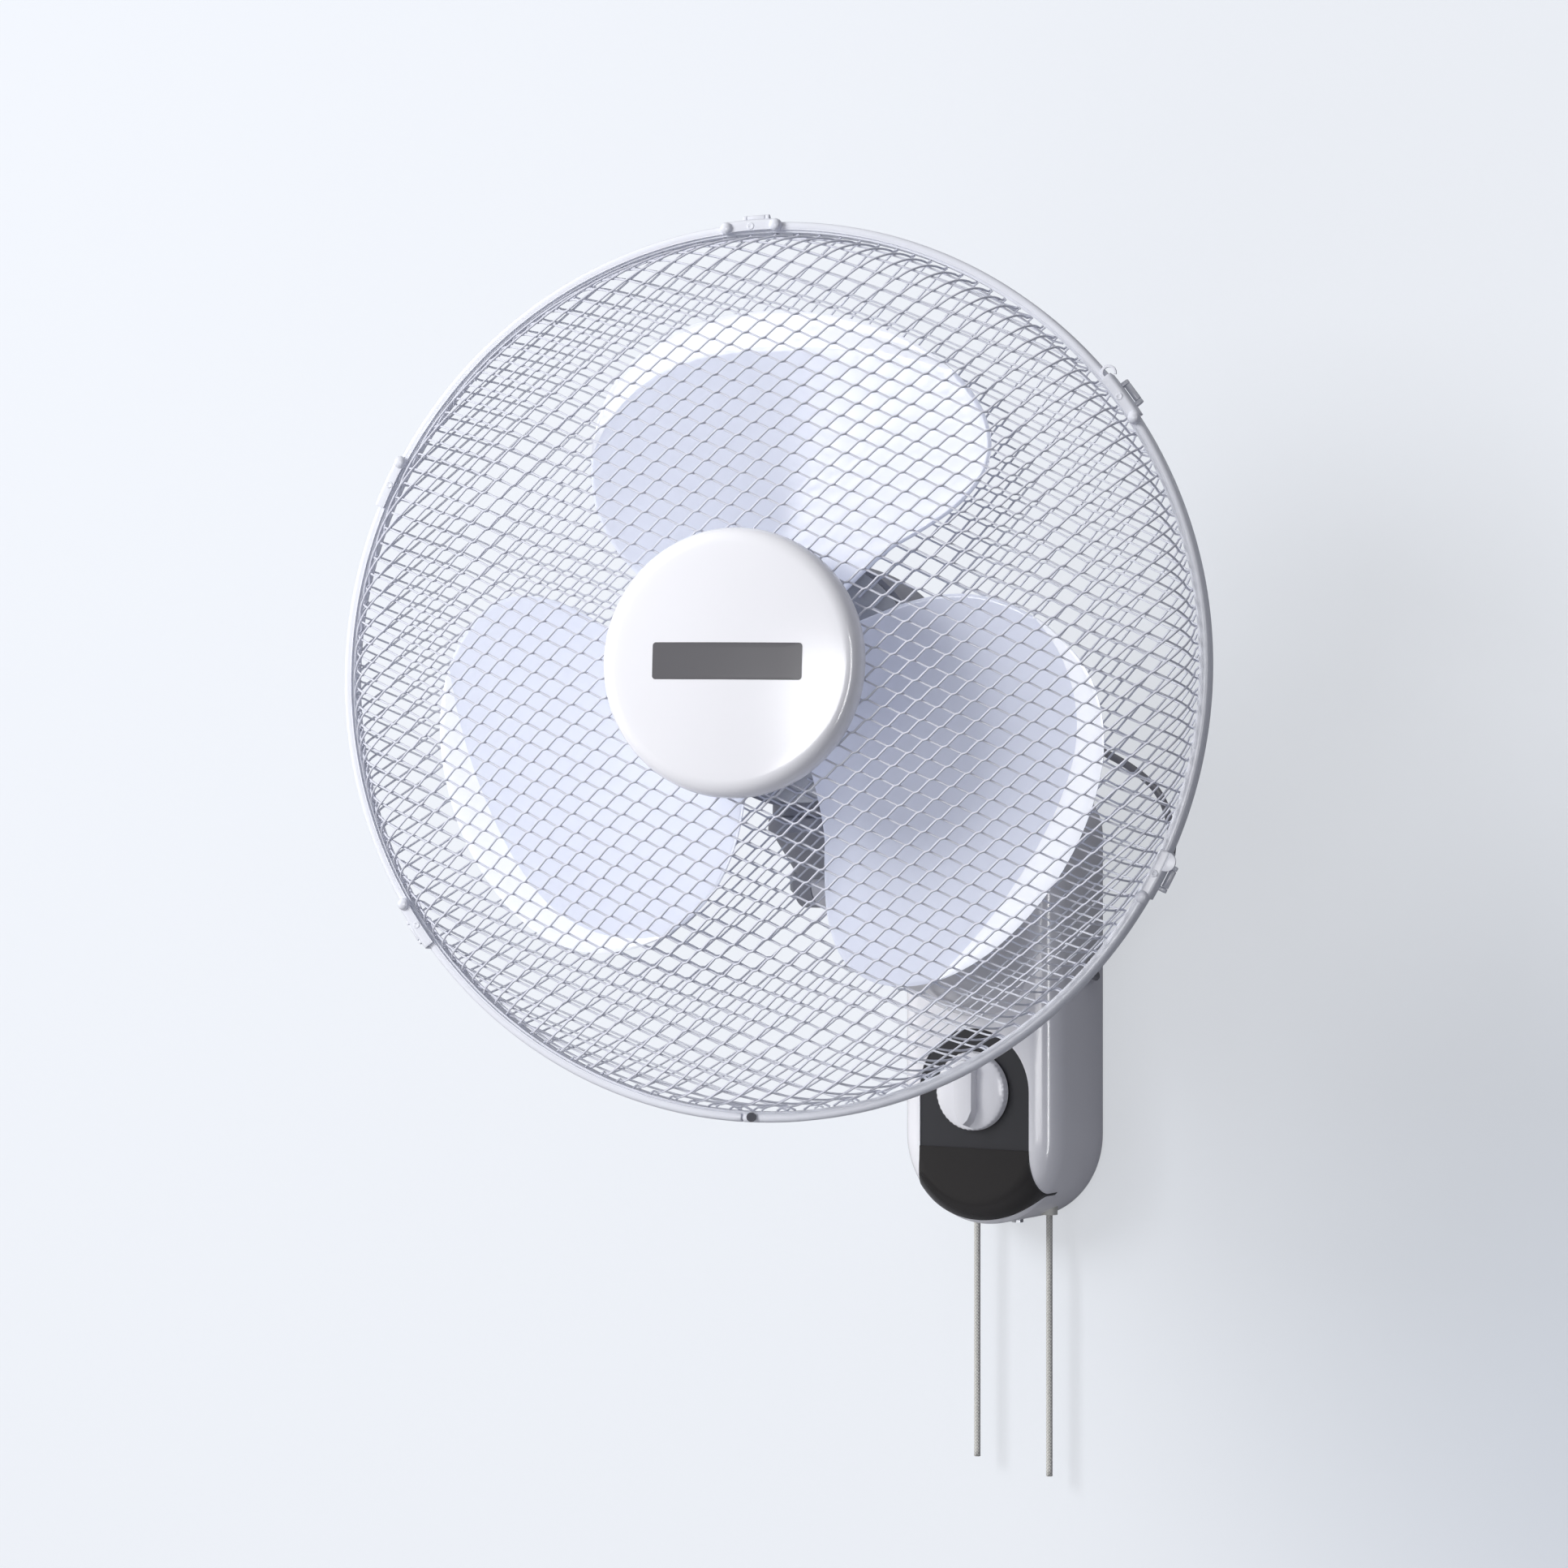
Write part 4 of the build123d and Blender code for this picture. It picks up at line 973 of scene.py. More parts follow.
aside = add(press, "ShaderNodeMath", {0: offset, 1: askew}, operation="ADD")
flat = add(press, "ShaderNodeCombineXYZ", {"X": kept, "Z": aside})
lean = add(press, "ShaderNodeMath", {0: given["Line angle"], 1: -1.0}, operation="MULTIPLY")
flat = add(
    press, "ShaderNodeVectorRotate", {"Vector": flat, "Angle": lean}, rotation_type="Y_AXIS"
)

print("nodes so far", len(press.nodes))

# %% Geometry Nodes: the press
# As far along the outline as the point was from the middle.
distance = add(press, "ShaderNodeVectorMath", {0: flat}, operation="LENGTH")
outward = add(press, "ShaderNodeVectorMath", {0: flat}, operation="NORMALIZE")
outline = add(press, "GeometryNodeObjectInfo", {"Object": given["Outline"]})
outline = add(press, "GeometryNodeMeshToCurve", {"Mesh": outline.outputs["Geometry"]})
sample = add(
    press,
    "GeometryNodeSampleCurve",
    {"Curves": outline, "Length": distance.outputs["Value"]},
    mode="LENGTH",
)
spot = add(press, "ShaderNodeSeparateXYZ", {"Vector": sample.outputs["Position"]})
slope = add(press, "ShaderNodeSeparateXYZ", {"Vector": sample.outputs["Tangent"]})
radius = add(
    press,
    "ShaderNodeMath",
    {0: slope.outputs["Y"], 1: given["Lift"], 2: spot.outputs["X"]},
    operation="MULTIPLY_ADD",
)
drop = add(press, "ShaderNodeMath", {0: given["Lift"], 1: -1.0}, operation="MULTIPLY")
depth = add(
    press,
    "ShaderNodeMath",
    {0: slope.outputs["X"], 1: drop, 2: spot.outputs["Y"]},
    operation="MULTIPLY_ADD",
)
depth = add(press, "ShaderNodeCombineXYZ", {"Y": depth})
place = add(
    press, "ShaderNodeVectorMath", {0: outward, 1: radius, 2: depth}, operation="MULTIPLY_ADD"
)
pressed = add(press, "GeometryNodeSetPosition", {"Geometry": laid, "Position": place})

print("nodes so far", len(press.nodes))

# %% Geometry Nodes: round wire
# The rear mesh is open in the middle. What is left becomes round wire, six-sided in its
# section because thousands of cells share it.
inside = add(
    press,
    "FunctionNodeCompare",
    {0: distance.outputs["Value"], 1: given["Hole radius"]},
    operation="LESS_THAN",
)
opened = add(press, "GeometryNodeDeleteGeometry", {"Geometry": pressed, "Selection": inside})
joined = add(press, "GeometryNodeMergeByDistance", {"Geometry": opened}, Distance=0.02 * mm)
wires = add(press, "GeometryNodeMeshToCurve", {"Mesh": joined})
section = add(
    press, "GeometryNodeCurvePrimitiveCircle", {"Radius": given["Wire radius"]}, Resolution=6
)
tubes = add(press, "GeometryNodeCurveToMesh", {"Curve": wires, "Profile Curve": section})
real = add(press, "GeometryNodeRealizeInstances", {"Geometry": tubes})
coated = add(press, "GeometryNodeSetMaterial", {"Geometry": real, "Material": given["Coating"]})
add(press, "NodeGroupOutput", {"Geometry": coated})
print("nodes in the tree", len(press.nodes))

# %% Four layers of wire
PITCH = 8.2
RISING, FALLING = 39.5, -18.5
WIRE = 1.1
LAYER = 0.5
KINK = -0.45
REAR_HOLE = 50.0
# The cells are counted as if the wires crossed at this angle, with a few to spare.
COUNTING_ANGLE = radians(60)
LAYERS = (
    # name, sign of the dome, line angle, other angle, lift, hole, node
    ("front_wires_rising", 1, RISING, FALLING, LAYER, 0.0, "front_grille"),
    ("front_wires_falling", 1, FALLING, RISING, -LAYER, 0.0, "front_grille"),
    ("rear_wires_rising", -1, RISING, FALLING, -LAYER, REAR_HOLE, "rear_grille"),
    ("rear_wires_falling", -1, FALLING, RISING, LAYER, REAR_HOLE, "rear_grille"),
)
for name, sign, angle, other, lift, hole, node in LAYERS:
    profile = dome_outline(sign)
    length = sum(hypot(b[0] - a[0], b[1] - a[1]) for a, b in zip(profile, profile[1:]))
    outline_mesh = bpy.data.meshes.new(name + "_outline")
    corners = [(r * mm, -d * mm, 0.0) for r, d in profile]
    outline_mesh.from_pydata(corners, [(i, i + 1) for i in range(len(corners) - 1)], [])
    outline_object = bpy.data.objects.new(name + "_outline", outline_mesh)
    bpy.context.scene.collection.objects.link(outline_object)
    holder = bpy.data.objects.new(name, bpy.data.meshes.new(name))
    bpy.context.scene.collection.objects.link(holder)
    modifier = holder.modifiers.new("press", "NODES")
    modifier.node_group = press
    values = {
        "Outline": outline_object,
        # The front mesh takes the greyer copy of the coat: painted shade.
        "Coating": front_mesh_painted_shade if sign == 1 else wire_coat,
        "Lines": 2 * int(length / PITCH),
        "Cells": 2 * int(length / PITCH / sin(COUNTING_ANGLE) + 3),
        "Pitch": PITCH * mm,
        "Crossing angle": radians(other - angle),
        "Line angle": radians(angle),
        "End length": length * mm,
        "Hole radius": hole * mm,
        "Lift": lift * mm,
        "Kink": KINK * mm,
        "Wire radius": WIRE / 2 * mm,
    }
    for label, value in values.items():
        modifier[sockets[label]] = value
    settle(holder)
    bpy.data.objects.remove(outline_object)
    holder.data.transform(HEAD)
    for polygon in holder.data.polygons:
        polygon.use_smooth = True
    place_piece(holder, "head", "wire_white", node)
    print(name, "dome length", round(length, 1), "faces", len(holder.data.polygons))

# %% [markdown]
# ## The rim, its lugs and the clips
#
# The rim is a strip rolled to a U that closes over both edge bands. Its two free edges
# are hemmed, so they show as thin beads. It is bent round and closed at the bottom, where
# a screw pulls its ends together. A tube along a circle would have no hems and no gap, so
# the bent strip's own section is turned about the motor's axis, a little short of a full
# turn. Five pairs of lugs carry the clips.
#
# Each clip is a moulded plate that lies on the rim and folds over its outside, where a
# barrel turns on a pin between two lugs. It has a domed boss at one end and a dimple in
# the middle; the clip at the top has a boss at each end. Two clips have a thumb tab at
# their other end: an open ring on the first, a half disc on the last.


# %% Rim and lugs
RIM = 218.0
RIM_INNER = 213.4
RIM_HALF = 6.0
CLIP_ANGLES = (37.0, 93.0, 155.0, 216.0, 334.0)
HINGE = (RIM + 0.9 + 2.6, PLANE - RIM_HALF + 2.6)
BARREL = 1.7
LUG = 2.0
LUG_AT = 4.7


def arc(centre, radius, first, last, steps):
    """Points of an arc between two angles in degrees."""
    angles = [radians(first + (last - first) * k / steps) for k in range(steps + 1)]
    return [(centre[0] + radius * cos(a), centre[1] + radius * sin(a)) for a in angles]


def strip_section(centres, half, bead):
    """Closed section of a bent strip along its middle line, with a bead at both ends."""
    left = []
    right = []
    for k, point in enumerate(centres):
        before = centres[max(k - 1, 0)]
        after = centres[min(k + 1, len(centres) - 1)]
        way = Vector((after[0] - before[0], after[1] - before[1])).normalized()
        width = bead if k in (0, len(centres) - 1) else half
        left.append((point[0] - way.y * width, point[1] + way.x * width))
        right.append((point[0] + way.y * width, point[1] - way.x * width))
    return left + right[::-1]


print("clips at", CLIP_ANGLES)

# %% Rim with its lugs
HALF_STRIP = 0.6
HALF_HEM = 0.8
corner = 1.6
front_face = PLANE + RIM_HALF
rear_face = PLANE - RIM_HALF
turn_centre = RIM - HALF_STRIP - corner
middle_line = [(RIM_INNER + 0.4, front_face - 0.9), (RIM_INNER + 1.1, front_face - 0.9)]
middle_line.append((RIM_INNER + 1.7, front_face - HALF_STRIP))
middle_line += arc((turn_centre, front_face - HALF_STRIP - corner), corner, 90, 0, 6)
middle_line += arc((turn_centre, rear_face + HALF_STRIP + corner), corner, 0, -90, 6)
middle_line.append((RIM_INNER + 1.7, rear_face + HALF_STRIP))
middle_line += [(RIM_INNER + 1.1, rear_face + 0.9), (RIM_INNER + 0.4, rear_face + 0.9)]
section = strip_section(middle_line, HALF_STRIP, HALF_HEM)
strip = turned_mesh("rim_strip", section, steps=360, start=-91.2, sweep=359.75)
parts = [(strip, WALL)]
x, d = HINGE
lug_outline = arc((x, -d), BARREL, -90, 90, 10)
lug_outline += [(RIM - 1.0, -d + 2.4), (RIM - 1.0, -d - 2.4)]
for angle in CLIP_ANGLES:
    for low in (LUG_AT, -LUG_AT - LUG):
        lug = prism("rim_lug", lug_outline, low, low + LUG)
        parts.append((lug, Matrix.Rotation(-radians(angle), 4, "Y")))
rim = new_piece("rim_strip_with_lugs", join_meshes("rim", parts), wire_coat, HEAD)
settle(rim, ("BEVEL", {"width": 0.35 * mm, "segments": 2, "limit_method": "ANGLE"}))
shade(rim.data, 50)
place_piece(rim, "head", "wire_white", "rim_ring")
print("rim faces", len(rim.data.polygons))

# %% Forms of a clip
FACE = PLANE + RIM_HALF + 0.3
CLIP_WALL = 1.2
CLIP_HALF = 12.0
PIN = 0.9
FOLD = 1.6
# The plate's section runs from the rim's face over the fold to the barrel.
outer = RIM + 0.3 + CLIP_WALL / 2
middle = FACE + CLIP_WALL / 2
clip_line = [(RIM_INNER + 0.5, middle), (RIM_INNER + 1.8, middle)]
clip_line += arc((outer - FOLD, middle - FOLD), FOLD, 90, 0, 6)
clip_line += [(outer, HINGE[1] + 3.6), (outer + 0.2, HINGE[1] + 1.6)]
CLIP_SECTION = strip_section(clip_line, CLIP_WALL / 2, CLIP_WALL / 2)
CLIP_SPAN = 2 * degrees(CLIP_HALF / RIM)
# Outlines of the boss and the dimple: radius, height on the plate.
BOSS = [(0.0, 2.9)] + arc((0.4, 0.0), 2.7, 80, 0, 7)[:-1]
BOSS += [(3.1, -0.6), (3.1, -1.4), (0.0, -1.4)]
DIMPLE = [(0.0, 0.0), (0.7, 0.05), (1.1, 0.3), (1.5, 0.35)]
DIMPLE += [(1.8, 0.1), (1.9, -0.5), (0.0, -0.5)]
OPEN_RING = arc((RIM + 0.6, CLIP_HALF + 0.4), 3.8, -50, 200, 22)
OPEN_RING += arc((RIM + 0.6, CLIP_HALF + 0.4), 2.5, 200, -50, 22)
TABS = {1: OPEN_RING, 5: arc((RIM + 0.4, CLIP_HALF - 4.6), 4.6, -90, 90, 14)}
# A tab's outline lies in the plane of the plate, so its prism is laid down by a turn.
LAY_DOWN = Matrix.Rotation(radians(90), 4, "X")


def on_clip(r, front, along):
    """Matrix to a place on a clip: radius, distance in front of the pivot, way along the rim."""
    return Matrix.Translation((r * mm, -front * mm, along * mm))


print("points in a clip's section", len(CLIP_SECTION))

# %% Five clips
for number, angle in enumerate(CLIP_ANGLES, start=1):
    first = angle - CLIP_SPAN / 2
    plate = turned_mesh("plate", CLIP_SECTION, steps=16, start=first, sweep=CLIP_SPAN)
    to_clip = Matrix.Rotation(-radians(angle), 4, "Y")
    barrel = prism("barrel", arc((HINGE[0], -HINGE[1]), BARREL, 0, 342, 19), -4.4, 4.4)
    pin = prism("pin", arc((HINGE[0], -HINGE[1]), PIN, 0, 330, 11), -6.8, 6.8)
    parts = [(plate, WALL), (barrel, to_clip), (pin, to_clip)]
    if number in TABS:
        tab = prism("tab", TABS[number], FACE - 0.4, FACE + 1.1)
        parts.append((tab, to_clip @ LAY_DOWN))
    for end in (-1, 1) if number == 2 else (-1,):
        place = on_clip(RIM_INNER + 2.4, FACE + 0.9, end * (CLIP_HALF + 0.4))
        parts.append((turned_mesh("boss", BOSS, steps=28, closed=False), to_clip @ place))
    place = on_clip(RIM_INNER + 2.6, FACE + CLIP_WALL, 0.0)
    parts.append((turned_mesh("dimple", DIMPLE, steps=20, closed=False), to_clip @ place))
    node = f"rim_clip_{number}"
    clip = new_piece(node + "_moulded", join_meshes(node, parts), clip_moulding, HEAD)
    settle(clip, ("BEVEL", {"width": 0.3 * mm, "segments": 2, "limit_method": "ANGLE"}))
    shade(clip.data, 50)
    place_piece(clip, f"clip_{number}", "clip_plastic", node)
print("clips", len(CLIP_ANGLES))

# %% [markdown]
# ## The cap and its blank plate
#
# The cap is one shallow moulding with a round shoulder, so its section is turned about
# the motor's axis. A blank plate sits in its middle. It is a thin printed film, so it
# follows the crown: rings of the plate's outline are laid on the crown from the middle
# outward.

# %% Cap
CAP = 64.0
CAP_BACK = 141.9
CAP_WALL = 2.4
SHOULDER = 9.0
CREST = 156.1
CROWN = 2.5


def crown(r):
    """Front of the cap's crown at a radius, in front of the pivot."""
    return CREST - CROWN * (r / (CAP - SHOULDER)) ** 2


edge = CREST - CROWN - SHOULDER
cap_profile = [(r, crown(r)) for r in (0.0, 8.0, 16.0, 24.0, 32.0, 40.0, 46.0, 51.0)]
cap_profile += arc((CAP - SHOULDER, edge), SHOULDER, 84, 0, 10)
cap_profile += [(CAP, CAP_BACK + 0.3), (CAP - 0.3, CAP_BACK), (CAP - 2.1, CAP_BACK)]
cap_profile += arc((CAP - SHOULDER, edge), SHOULDER - CAP_WALL, 0, 84, 6)
cap_profile += [(r, crown(r) - CAP_WALL) for r in (40.0, 20.0)] + [(4.0, CREST - CAP_WALL)]
cap_profile += [(4.0, 138.2), (0.0, 138.2)]
cap_mesh = turned_mesh("cap", cap_profile, closed=False)
cap = new_piece("front_cap_moulded", cap_mesh, white_moulding, HEAD)
shade(cap.data, 35)
place_piece(cap, "head", "white_shell", "front_cap")
print("cap faces", len(cap.data.polygons))

# %% Blank plate
FILM = 0.22
PLATE_HALF = (36.7, 8.7)
PLATE_CORNER = 1.6
outline = []
for sx, sz, first in ((1, 1, 0), (-1, 1, 90), (-1, -1, 180), (1, -1, 270)):
    centre = (sx * (PLATE_HALF[0] - PLATE_CORNER), sz * (PLATE_HALF[1] - PLATE_CORNER))
    outline += arc(centre, PLATE_CORNER, first, first + 90, 5)
long_edges = []
for a, b in zip(outline, outline[1:] + outline[:1]):
    steps = max(1, int(hypot(b[0] - a[0], b[1] - a[1]) / 4))
    long_edges += [
        (a[0] + (b[0] - a[0]) * k / steps, a[1] + (b[1] - a[1]) * k / steps) for k in range(steps)
    ]
bm = bmesh.new()
rings = []
# Share of the outline, and height over the crown: the film, then its edge.
levels = [(share, FILM) for share in (0.15, 0.4, 0.7, 0.97)] + [(1.0, 0.12), (1.0, -0.3)]
for share, lift in levels:
    ring = []
    for x, z in long_edges:
        x, z = x * share, z * share
        ring.append(bm.verts.new((x * mm, -(crown(hypot(x, z)) + lift) * mm, z * mm)))
    rings.append(ring)
bm.faces.new(rings[0])
for a, b in zip(rings, rings[1:]):
    for j in range(len(a)):
        i = (j + 1) % len(a)
        bm.faces.new((a[j], a[i], b[i], b[j]))
bm.faces.new(rings[-1])
plate_mesh = shade(finished_mesh("plate", bm), 35)
plate = new_piece("blank_name_plate", plate_mesh, label_grey, HEAD)
place_piece(plate, "head", "white_shell")
print("plate faces", len(plate.data.polygons))

# %% [markdown]
# ## The blade
#
# The blade is one moulding in clear, slightly milky plastic: three paddles on a hub. The
# outer edge of a paddle is bent into a lip, and the lip gathers light, as the edges of
# clear plastics do. Its material is a paler copy of the face's with a stronger glow, which
# is painted light, so it looks white where the face looks lilac.
#
# A paddle could be a sheet cut by its outline, but then the crease between face and lip
# would run through the middle of faces. So the mesh is built like a wheel: a spoke from a
# point on the face to each point of the outline, with a ring of points exactly on the
# crease. Faces beyond the crease get the lip's material. The crease keeps to a share of
# the blade's radius that gives way a little at both corners.

# %% Form of a paddle
BLADE_OUTLINE = (
    # angle in degrees, share of the blade's radius
    (25.0, 0.34), (24.0, 0.47), (20.5, 0.60), (15.0, 0.71), (7.5, 0.825), (-2.0, 0.93),
    (-14.0, 0.985), (-30.0, 0.998), (-46.0, 0.993), (-59.0, 0.972), (-69.0, 0.918),
    (-75.5, 0.83), (-77.5, 0.70), (-75.5, 0.56), (-70.0, 0.42),
)
BLADE = 178.0
HUB = 31.0
ROOT = HUB - 1.3
FACE_FROM = 26.0
# The sheet leans forward by so much over so many degrees, and is dished by its cup.
MIDDLE_ANGLE, MIDDLE_FRONT = -26.0, 85.0
LEAN, LEAN_ANGLE = 19.0, 56.0
CUP = 5.0
LIP_RISE = 1.0
LIP_SLOPE = 0.24
HALF_SHEET = 1.0
HALF_EDGE = 0.35


def polar(x, z):
    """Angle in degrees and radius of a point seen along the motor's axis."""
    return degrees(atan2(z, x)), hypot(x, z)


def crease_radius(angle):
    """Radius where the face ends and the lip begins."""
    share = 0.89 - 0.00016 * (angle + 17) ** 2 if angle > -17 else 0.89
    return BLADE * (share + (0.00006 * (angle + 28) ** 2 if angle < -28 else 0.0))


def blade_front(angle, r):
    """Middle of the blade's sheet, in front of the pivot: pitch, cup and lip."""
    crease = crease_radius(angle)
    pitch = MIDDLE_FRONT + LEAN * (angle - MIDDLE_ANGLE) / LEAN_ANGLE
    if r > crease:
        return pitch + LIP_RISE + LIP_SLOPE * (r - crease)
    t = (r - FACE_FROM) / (crease - FACE_FROM)
    return pitch - CUP * t * (1 - t) + LIP_RISE * t * t


def at(r, angle):
    """Point at a radius and an angle in degrees."""
    return r * cos(radians(angle)), r * sin(radians(angle))


knots = [at(ROOT, 28)] + [at(share * BLADE, a) for a, share in BLADE_OUTLINE] + [at(ROOT, -67)]
smooth = nurbs_route("blade_outline", [(x, 0.0, z) for x, z in knots])
smooth = [(p.x / mm, p.z / mm) for p in smooth]
rim_line = smooth[:1]
rim_line += [p for p, q in zip(smooth[1:], smooth) if hypot(p[0] - q[0], p[1] - q[1]) > 0.2]
rim_line += arc((0.0, 0.0), ROOT, -61, 22, 12)
print("points on a paddle's outline", len(rim_line))

# %% One paddle
PADDLE_MIDDLE = at(100.0, -27)
FACE_RINGS, LIP_RINGS = 22, 6
NO_LIP = 0.93


def spoke(point, share):
    """Place on the spoke from the paddle's middle to a point of its outline."""
    return tuple(a + (b - a) * share for a, b in zip(PADDLE_MIDDLE, point))


def crease_share(point):
    """Share of a spoke at which it meets the crease, found by halving."""
    angle, r = polar(*point)
    if r <= crease_radius(angle) + 0.3:
        return NO_LIP
    low, high = 0.3, 1.0
    for _ in range(24):
        middle = (low + high) / 2
        angle, r = polar(*spoke(point, middle))
        low, high = (middle, high) if r < crease_radius(angle) else (low, middle)
    return low


bm = bmesh.new()
upper = []
lower = []
for point in rim_line:
    crease = crease_share(point)
    shares = [crease * k / FACE_RINGS for k in range(FACE_RINGS)] + [crease]
    shares += [crease + (1 - crease) * (k + 1) / LIP_RINGS for k in range(LIP_RINGS)]
    for side, lines in ((1, upper), (-1, lower)):
        line = []
        for share in shares:
            px, pz = spoke(point, share)
            half = HALF_SHEET if share < 0.999 else HALF_EDGE
            front = blade_front(*polar(px, pz)) + side * half
            line.append(bm.verts.new((px * mm, -front * mm, pz * mm)))
        lines.append(line)
count = len(rim_line)
for lines in (upper, lower):
    for j in range(count):
        i = (j + 1) % count
        for k in range(FACE_RINGS + LIP_RINGS):
            face = bm.faces.new((lines[j][k], lines[j][k + 1], lines[i][k + 1], lines[i][k]))
            place = face.calc_center_median() / mm
            angle, r = polar(place.x, place.z)
            face.material_index = 1 if k >= FACE_RINGS and r > crease_radius(angle) else 0
for j in range(count):
    i = (j + 1) % count
    bm.faces.new((upper[j][-1], lower[j][-1], lower[i][-1], upper[i][-1]))
bmesh.ops.remove_doubles(bm, verts=bm.verts, dist=SAME_CORNER * mm)
bmesh.ops.dissolve_degenerate(bm, edges=bm.edges, dist=NO_EDGE * mm)
paddle = finished_mesh("paddle", bm)
print("paddle faces", len(paddle.polygons))

# %% Three paddles on a hub
# new_piece clears a mesh's materials, and with them which faces are lip, so the indices
# are kept in a list and set again.
PADDLES = 3
hub_profile = [(4.2, 98.0), (HUB - 1.2, 98.0), (HUB, 96.8), (HUB, 58.0), (HUB - 2.6, 58.0)]
hub_profile += [(HUB - 2.6, 95.0), (9.0, 95.0), (9.0, 60.0), (4.2, 60.0)]
parts = [(turned_mesh("hub", hub_profile, steps=96), WALL)]
for k in range(PADDLES):
    parts.append((paddle.copy(), Matrix.Rotation(2 * pi * k / PADDLES, 4, "Y")))
blade_mesh = join_meshes("blade", parts)
indices = [polygon.material_index for polygon in blade_mesh.polygons]
blade = new_piece("fan_blade_moulded", blade_mesh, blade_face_painted_glow, HEAD)
# The lip's faces take the paler, more glowing copy: painted light.
blade.data.materials.append(blade_lip_painted_glow)
for polygon, index in zip(blade.data.polygons, indices):
    polygon.material_index = index
shade(blade.data, 40)
place_piece(blade, "rotor", "translucent", "fan_blade")
print("blade faces", len(blade.data.polygons), "on the lip", sum(indices))

# %% [markdown]
# ## The timer knob
#
# The knob is a domed disc with a finely ribbed skirt and one ridge across it to hold. The
# ridge has flat sides that draw in a little, and it points down, where it comes to a tip.
# The ribs are a cosine on the radius of the turned disc, which is cheaper than cutting
# forty-four grooves.

# %% Knob
KNOB_PLACE = Matrix.Translation((0, -58.0 * mm, -47.0 * mm))
RIBS = 44
RIB_DEPTH = 0.3


def ribs(turn, r, d):
    """Fine ribs on the skirt only."""
    on_skirt = 0.6 < d < 4.6 and r > 20.0
    return r - RIB_DEPTH * (0.5 + 0.5 * cos(RIBS * turn)) if on_skirt else r


knob_profile = [(0.0, 7.5), (6.0, 7.4), (11.0, 6.9), (15.0, 6.2), (18.0, 5.5), (19.8, 4.9)]
knob_profile += [(20.7, 4.4), (21.1, 3.8), (21.3, 1.0), (21.4, 0.4), (21.2, 0.0), (0.0, 0.0)]
disc = turned_mesh("disc", knob_profile, steps=264, closed=False, ripple=ribs)
ridge_outline = [(-6.2, -11.5), (-3.4, -17.4), (0.0, -20.4), (3.4, -17.4), (6.2, -11.5)]
ridge_outline += [(6.2, 15.6), (4.2, 18.6), (0.0, 19.8), (-4.2, 18.6), (-6.2, 15.6)]
ridge = prism("ridge", ridge_outline, 1.0, 12.6, top_scale=0.86)
knob_mesh = join_meshes("knob", [(disc, WALL), (ridge, LAY_DOWN)])
knob = new_piece("timer_knob_moulded", knob_mesh, white_moulding, KNOB_PLACE)
settle(knob, ("BEVEL", {"width": 1.1 * mm, "segments": 3, "limit_method": "ANGLE"}))
shade(knob.data, 40)
place_piece(knob, "knob", "white_shell", "timer_knob")
print("knob faces", len(knob.data.polygons))

# %% [markdown]
# ## Strain reliefs
#
# Both ends of the cable are held by a soft tapered sleeve with rings round it, so that
# it bends in an arc. Stacked discs would leave seams between them, so the whole sleeve is
# one profile, turned about the cable's line.

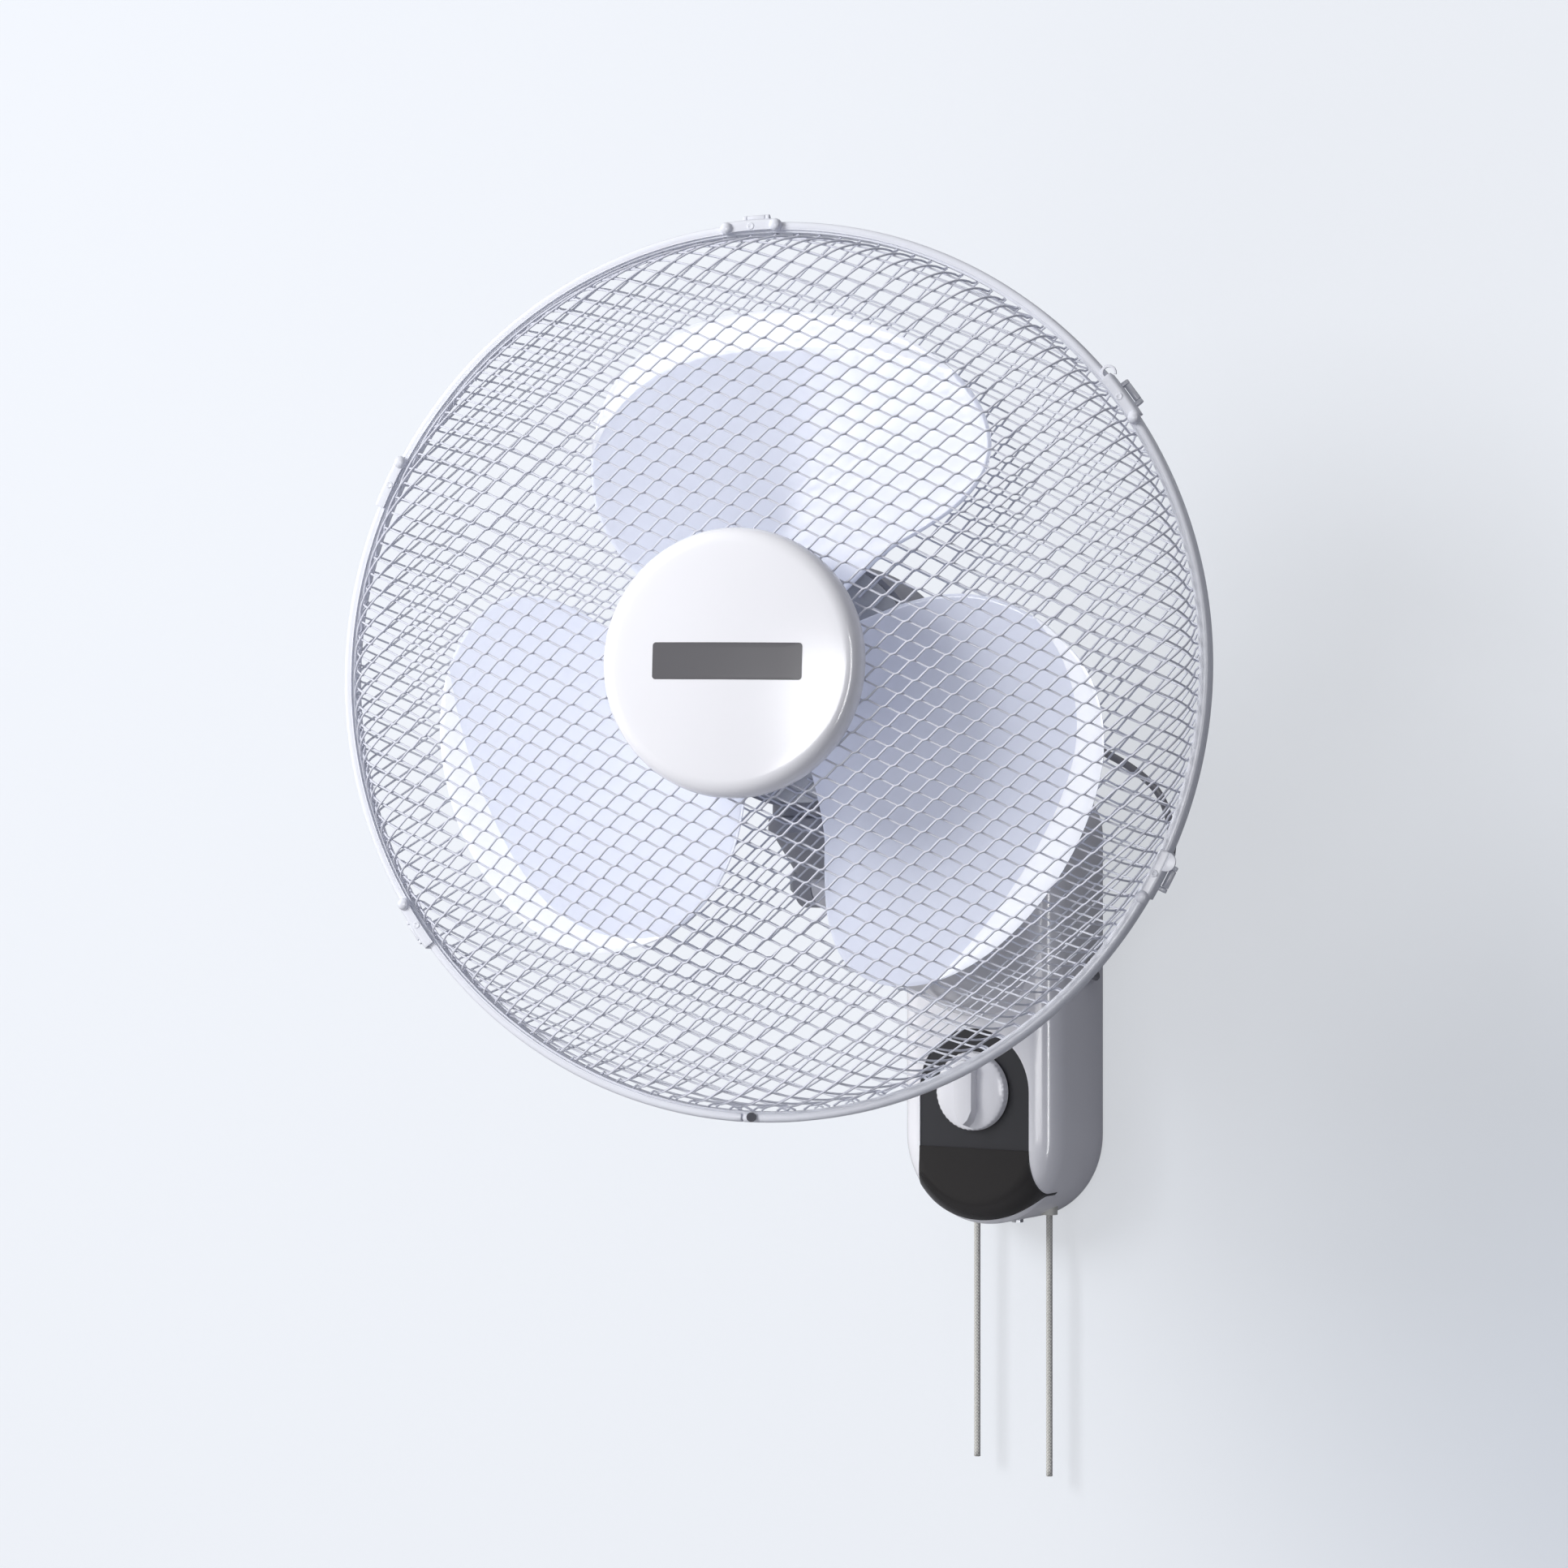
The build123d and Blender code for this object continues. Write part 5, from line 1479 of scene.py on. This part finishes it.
# %% Reliefs
RINGS = 6
GROOVE = 0.7
relief_profile = [(0.0, RELIEF_LENGTH), (2.4, RELIEF_LENGTH), (2.9, 13.6)]
for k in range(RINGS):
    low = 12.6 - 1.9 * k
    size = 2.9 + 0.22 * k
    relief_profile += [(size, low + 0.5), (size, low - 0.4)]
    relief_profile += [(size - GROOVE, low - 0.6), (size - GROOVE, low - 1.1)]
relief_profile += [(4.3, 1.8), (6.6, 1.8), (7.0, 1.3), (7.0, 0.0)]
relief_profile += [(3.0, 0.0), (3.0, -3.0), (0.0, -3.0)]
for node, place, way, body in (
    ("head_relief", head_exit, exit_way, "head"),
    ("base_relief", entry * mm, entry_way, "base"),
):
    turn = Vector((0, -1, 0)).rotation_difference(way).to_matrix().to_4x4()
    sleeve = turned_mesh("sleeve", relief_profile, steps=32, closed=False)
    relief = new_piece(node + "_ringed", sleeve, cable_sheath, Matrix.Translation(place) @ turn)
    shade(relief.data, 40)
    place_piece(relief, body, "cable_grey", node)
    print(node, "faces", len(relief.data.polygons))

# %% [markdown]
# ## Smooth copies for the rest
#
# These solids already have their shape. The base, the rear parts, the motor's insides
# and the hardware only need their finish.

# %% Smooth copies with their finish
COPIES = {
    white_moulding: ("white_shell", ["base_housing"]),
    dark_satin: ("dark_panel", ["panel_upper"]),
    dark_gloss: ("dark_gloss", ["panel_lower"]),
    grey_moulding: ("motor_shell", ["motor_cover"]),
    neck_moulding: ("neck_plastic", ["tilt_knuckle"]),
    wire_coat: ("wire_white", ["front_band", "rear_band", "cap_back_plate"]),
    clip_moulding: ("clip_plastic", ["rear_grille_nut", "blade_spinner"]),
    plain_moulding: (
        "switch_plastic",
        ["timer_body", "speed_switch", "swing_switch", "speed_slider", "swing_slider"]
        + ["speed_bush", "swing_bush", "swing_crank"],
    ),
    zinc_steel: (
        "steel",
        ["wall_plate", "base_screw", "timer_shaft", "tilt_bolt", "tilt_wing_nut"]
        + ["tilt_washers", "tie_screws", "swivel_bracket", "swivel_pin", "swing_motor"]
        + ["cap_screw", "rim_strap", "rotor_shaft"],
    ),
    black_screw: ("steel", ["rim_screw"]),
    cast_alloy: ("aluminium", ["motor_front_plate", "motor_rear_plate"]),
    sinter_bronze: ("bronze", ["front_bush", "rear_bush"]),
    core_steel: ("lamination", ["stator_core", "rotor_core"]),
    coil_copper: ("copper", ["stator_windings"]),
}
for material, (slot, members) in COPIES.items():
    for node in members:
        from_solid(node, material, slot)
print("copies", sum(len(members) for _, members in COPIES.values()))
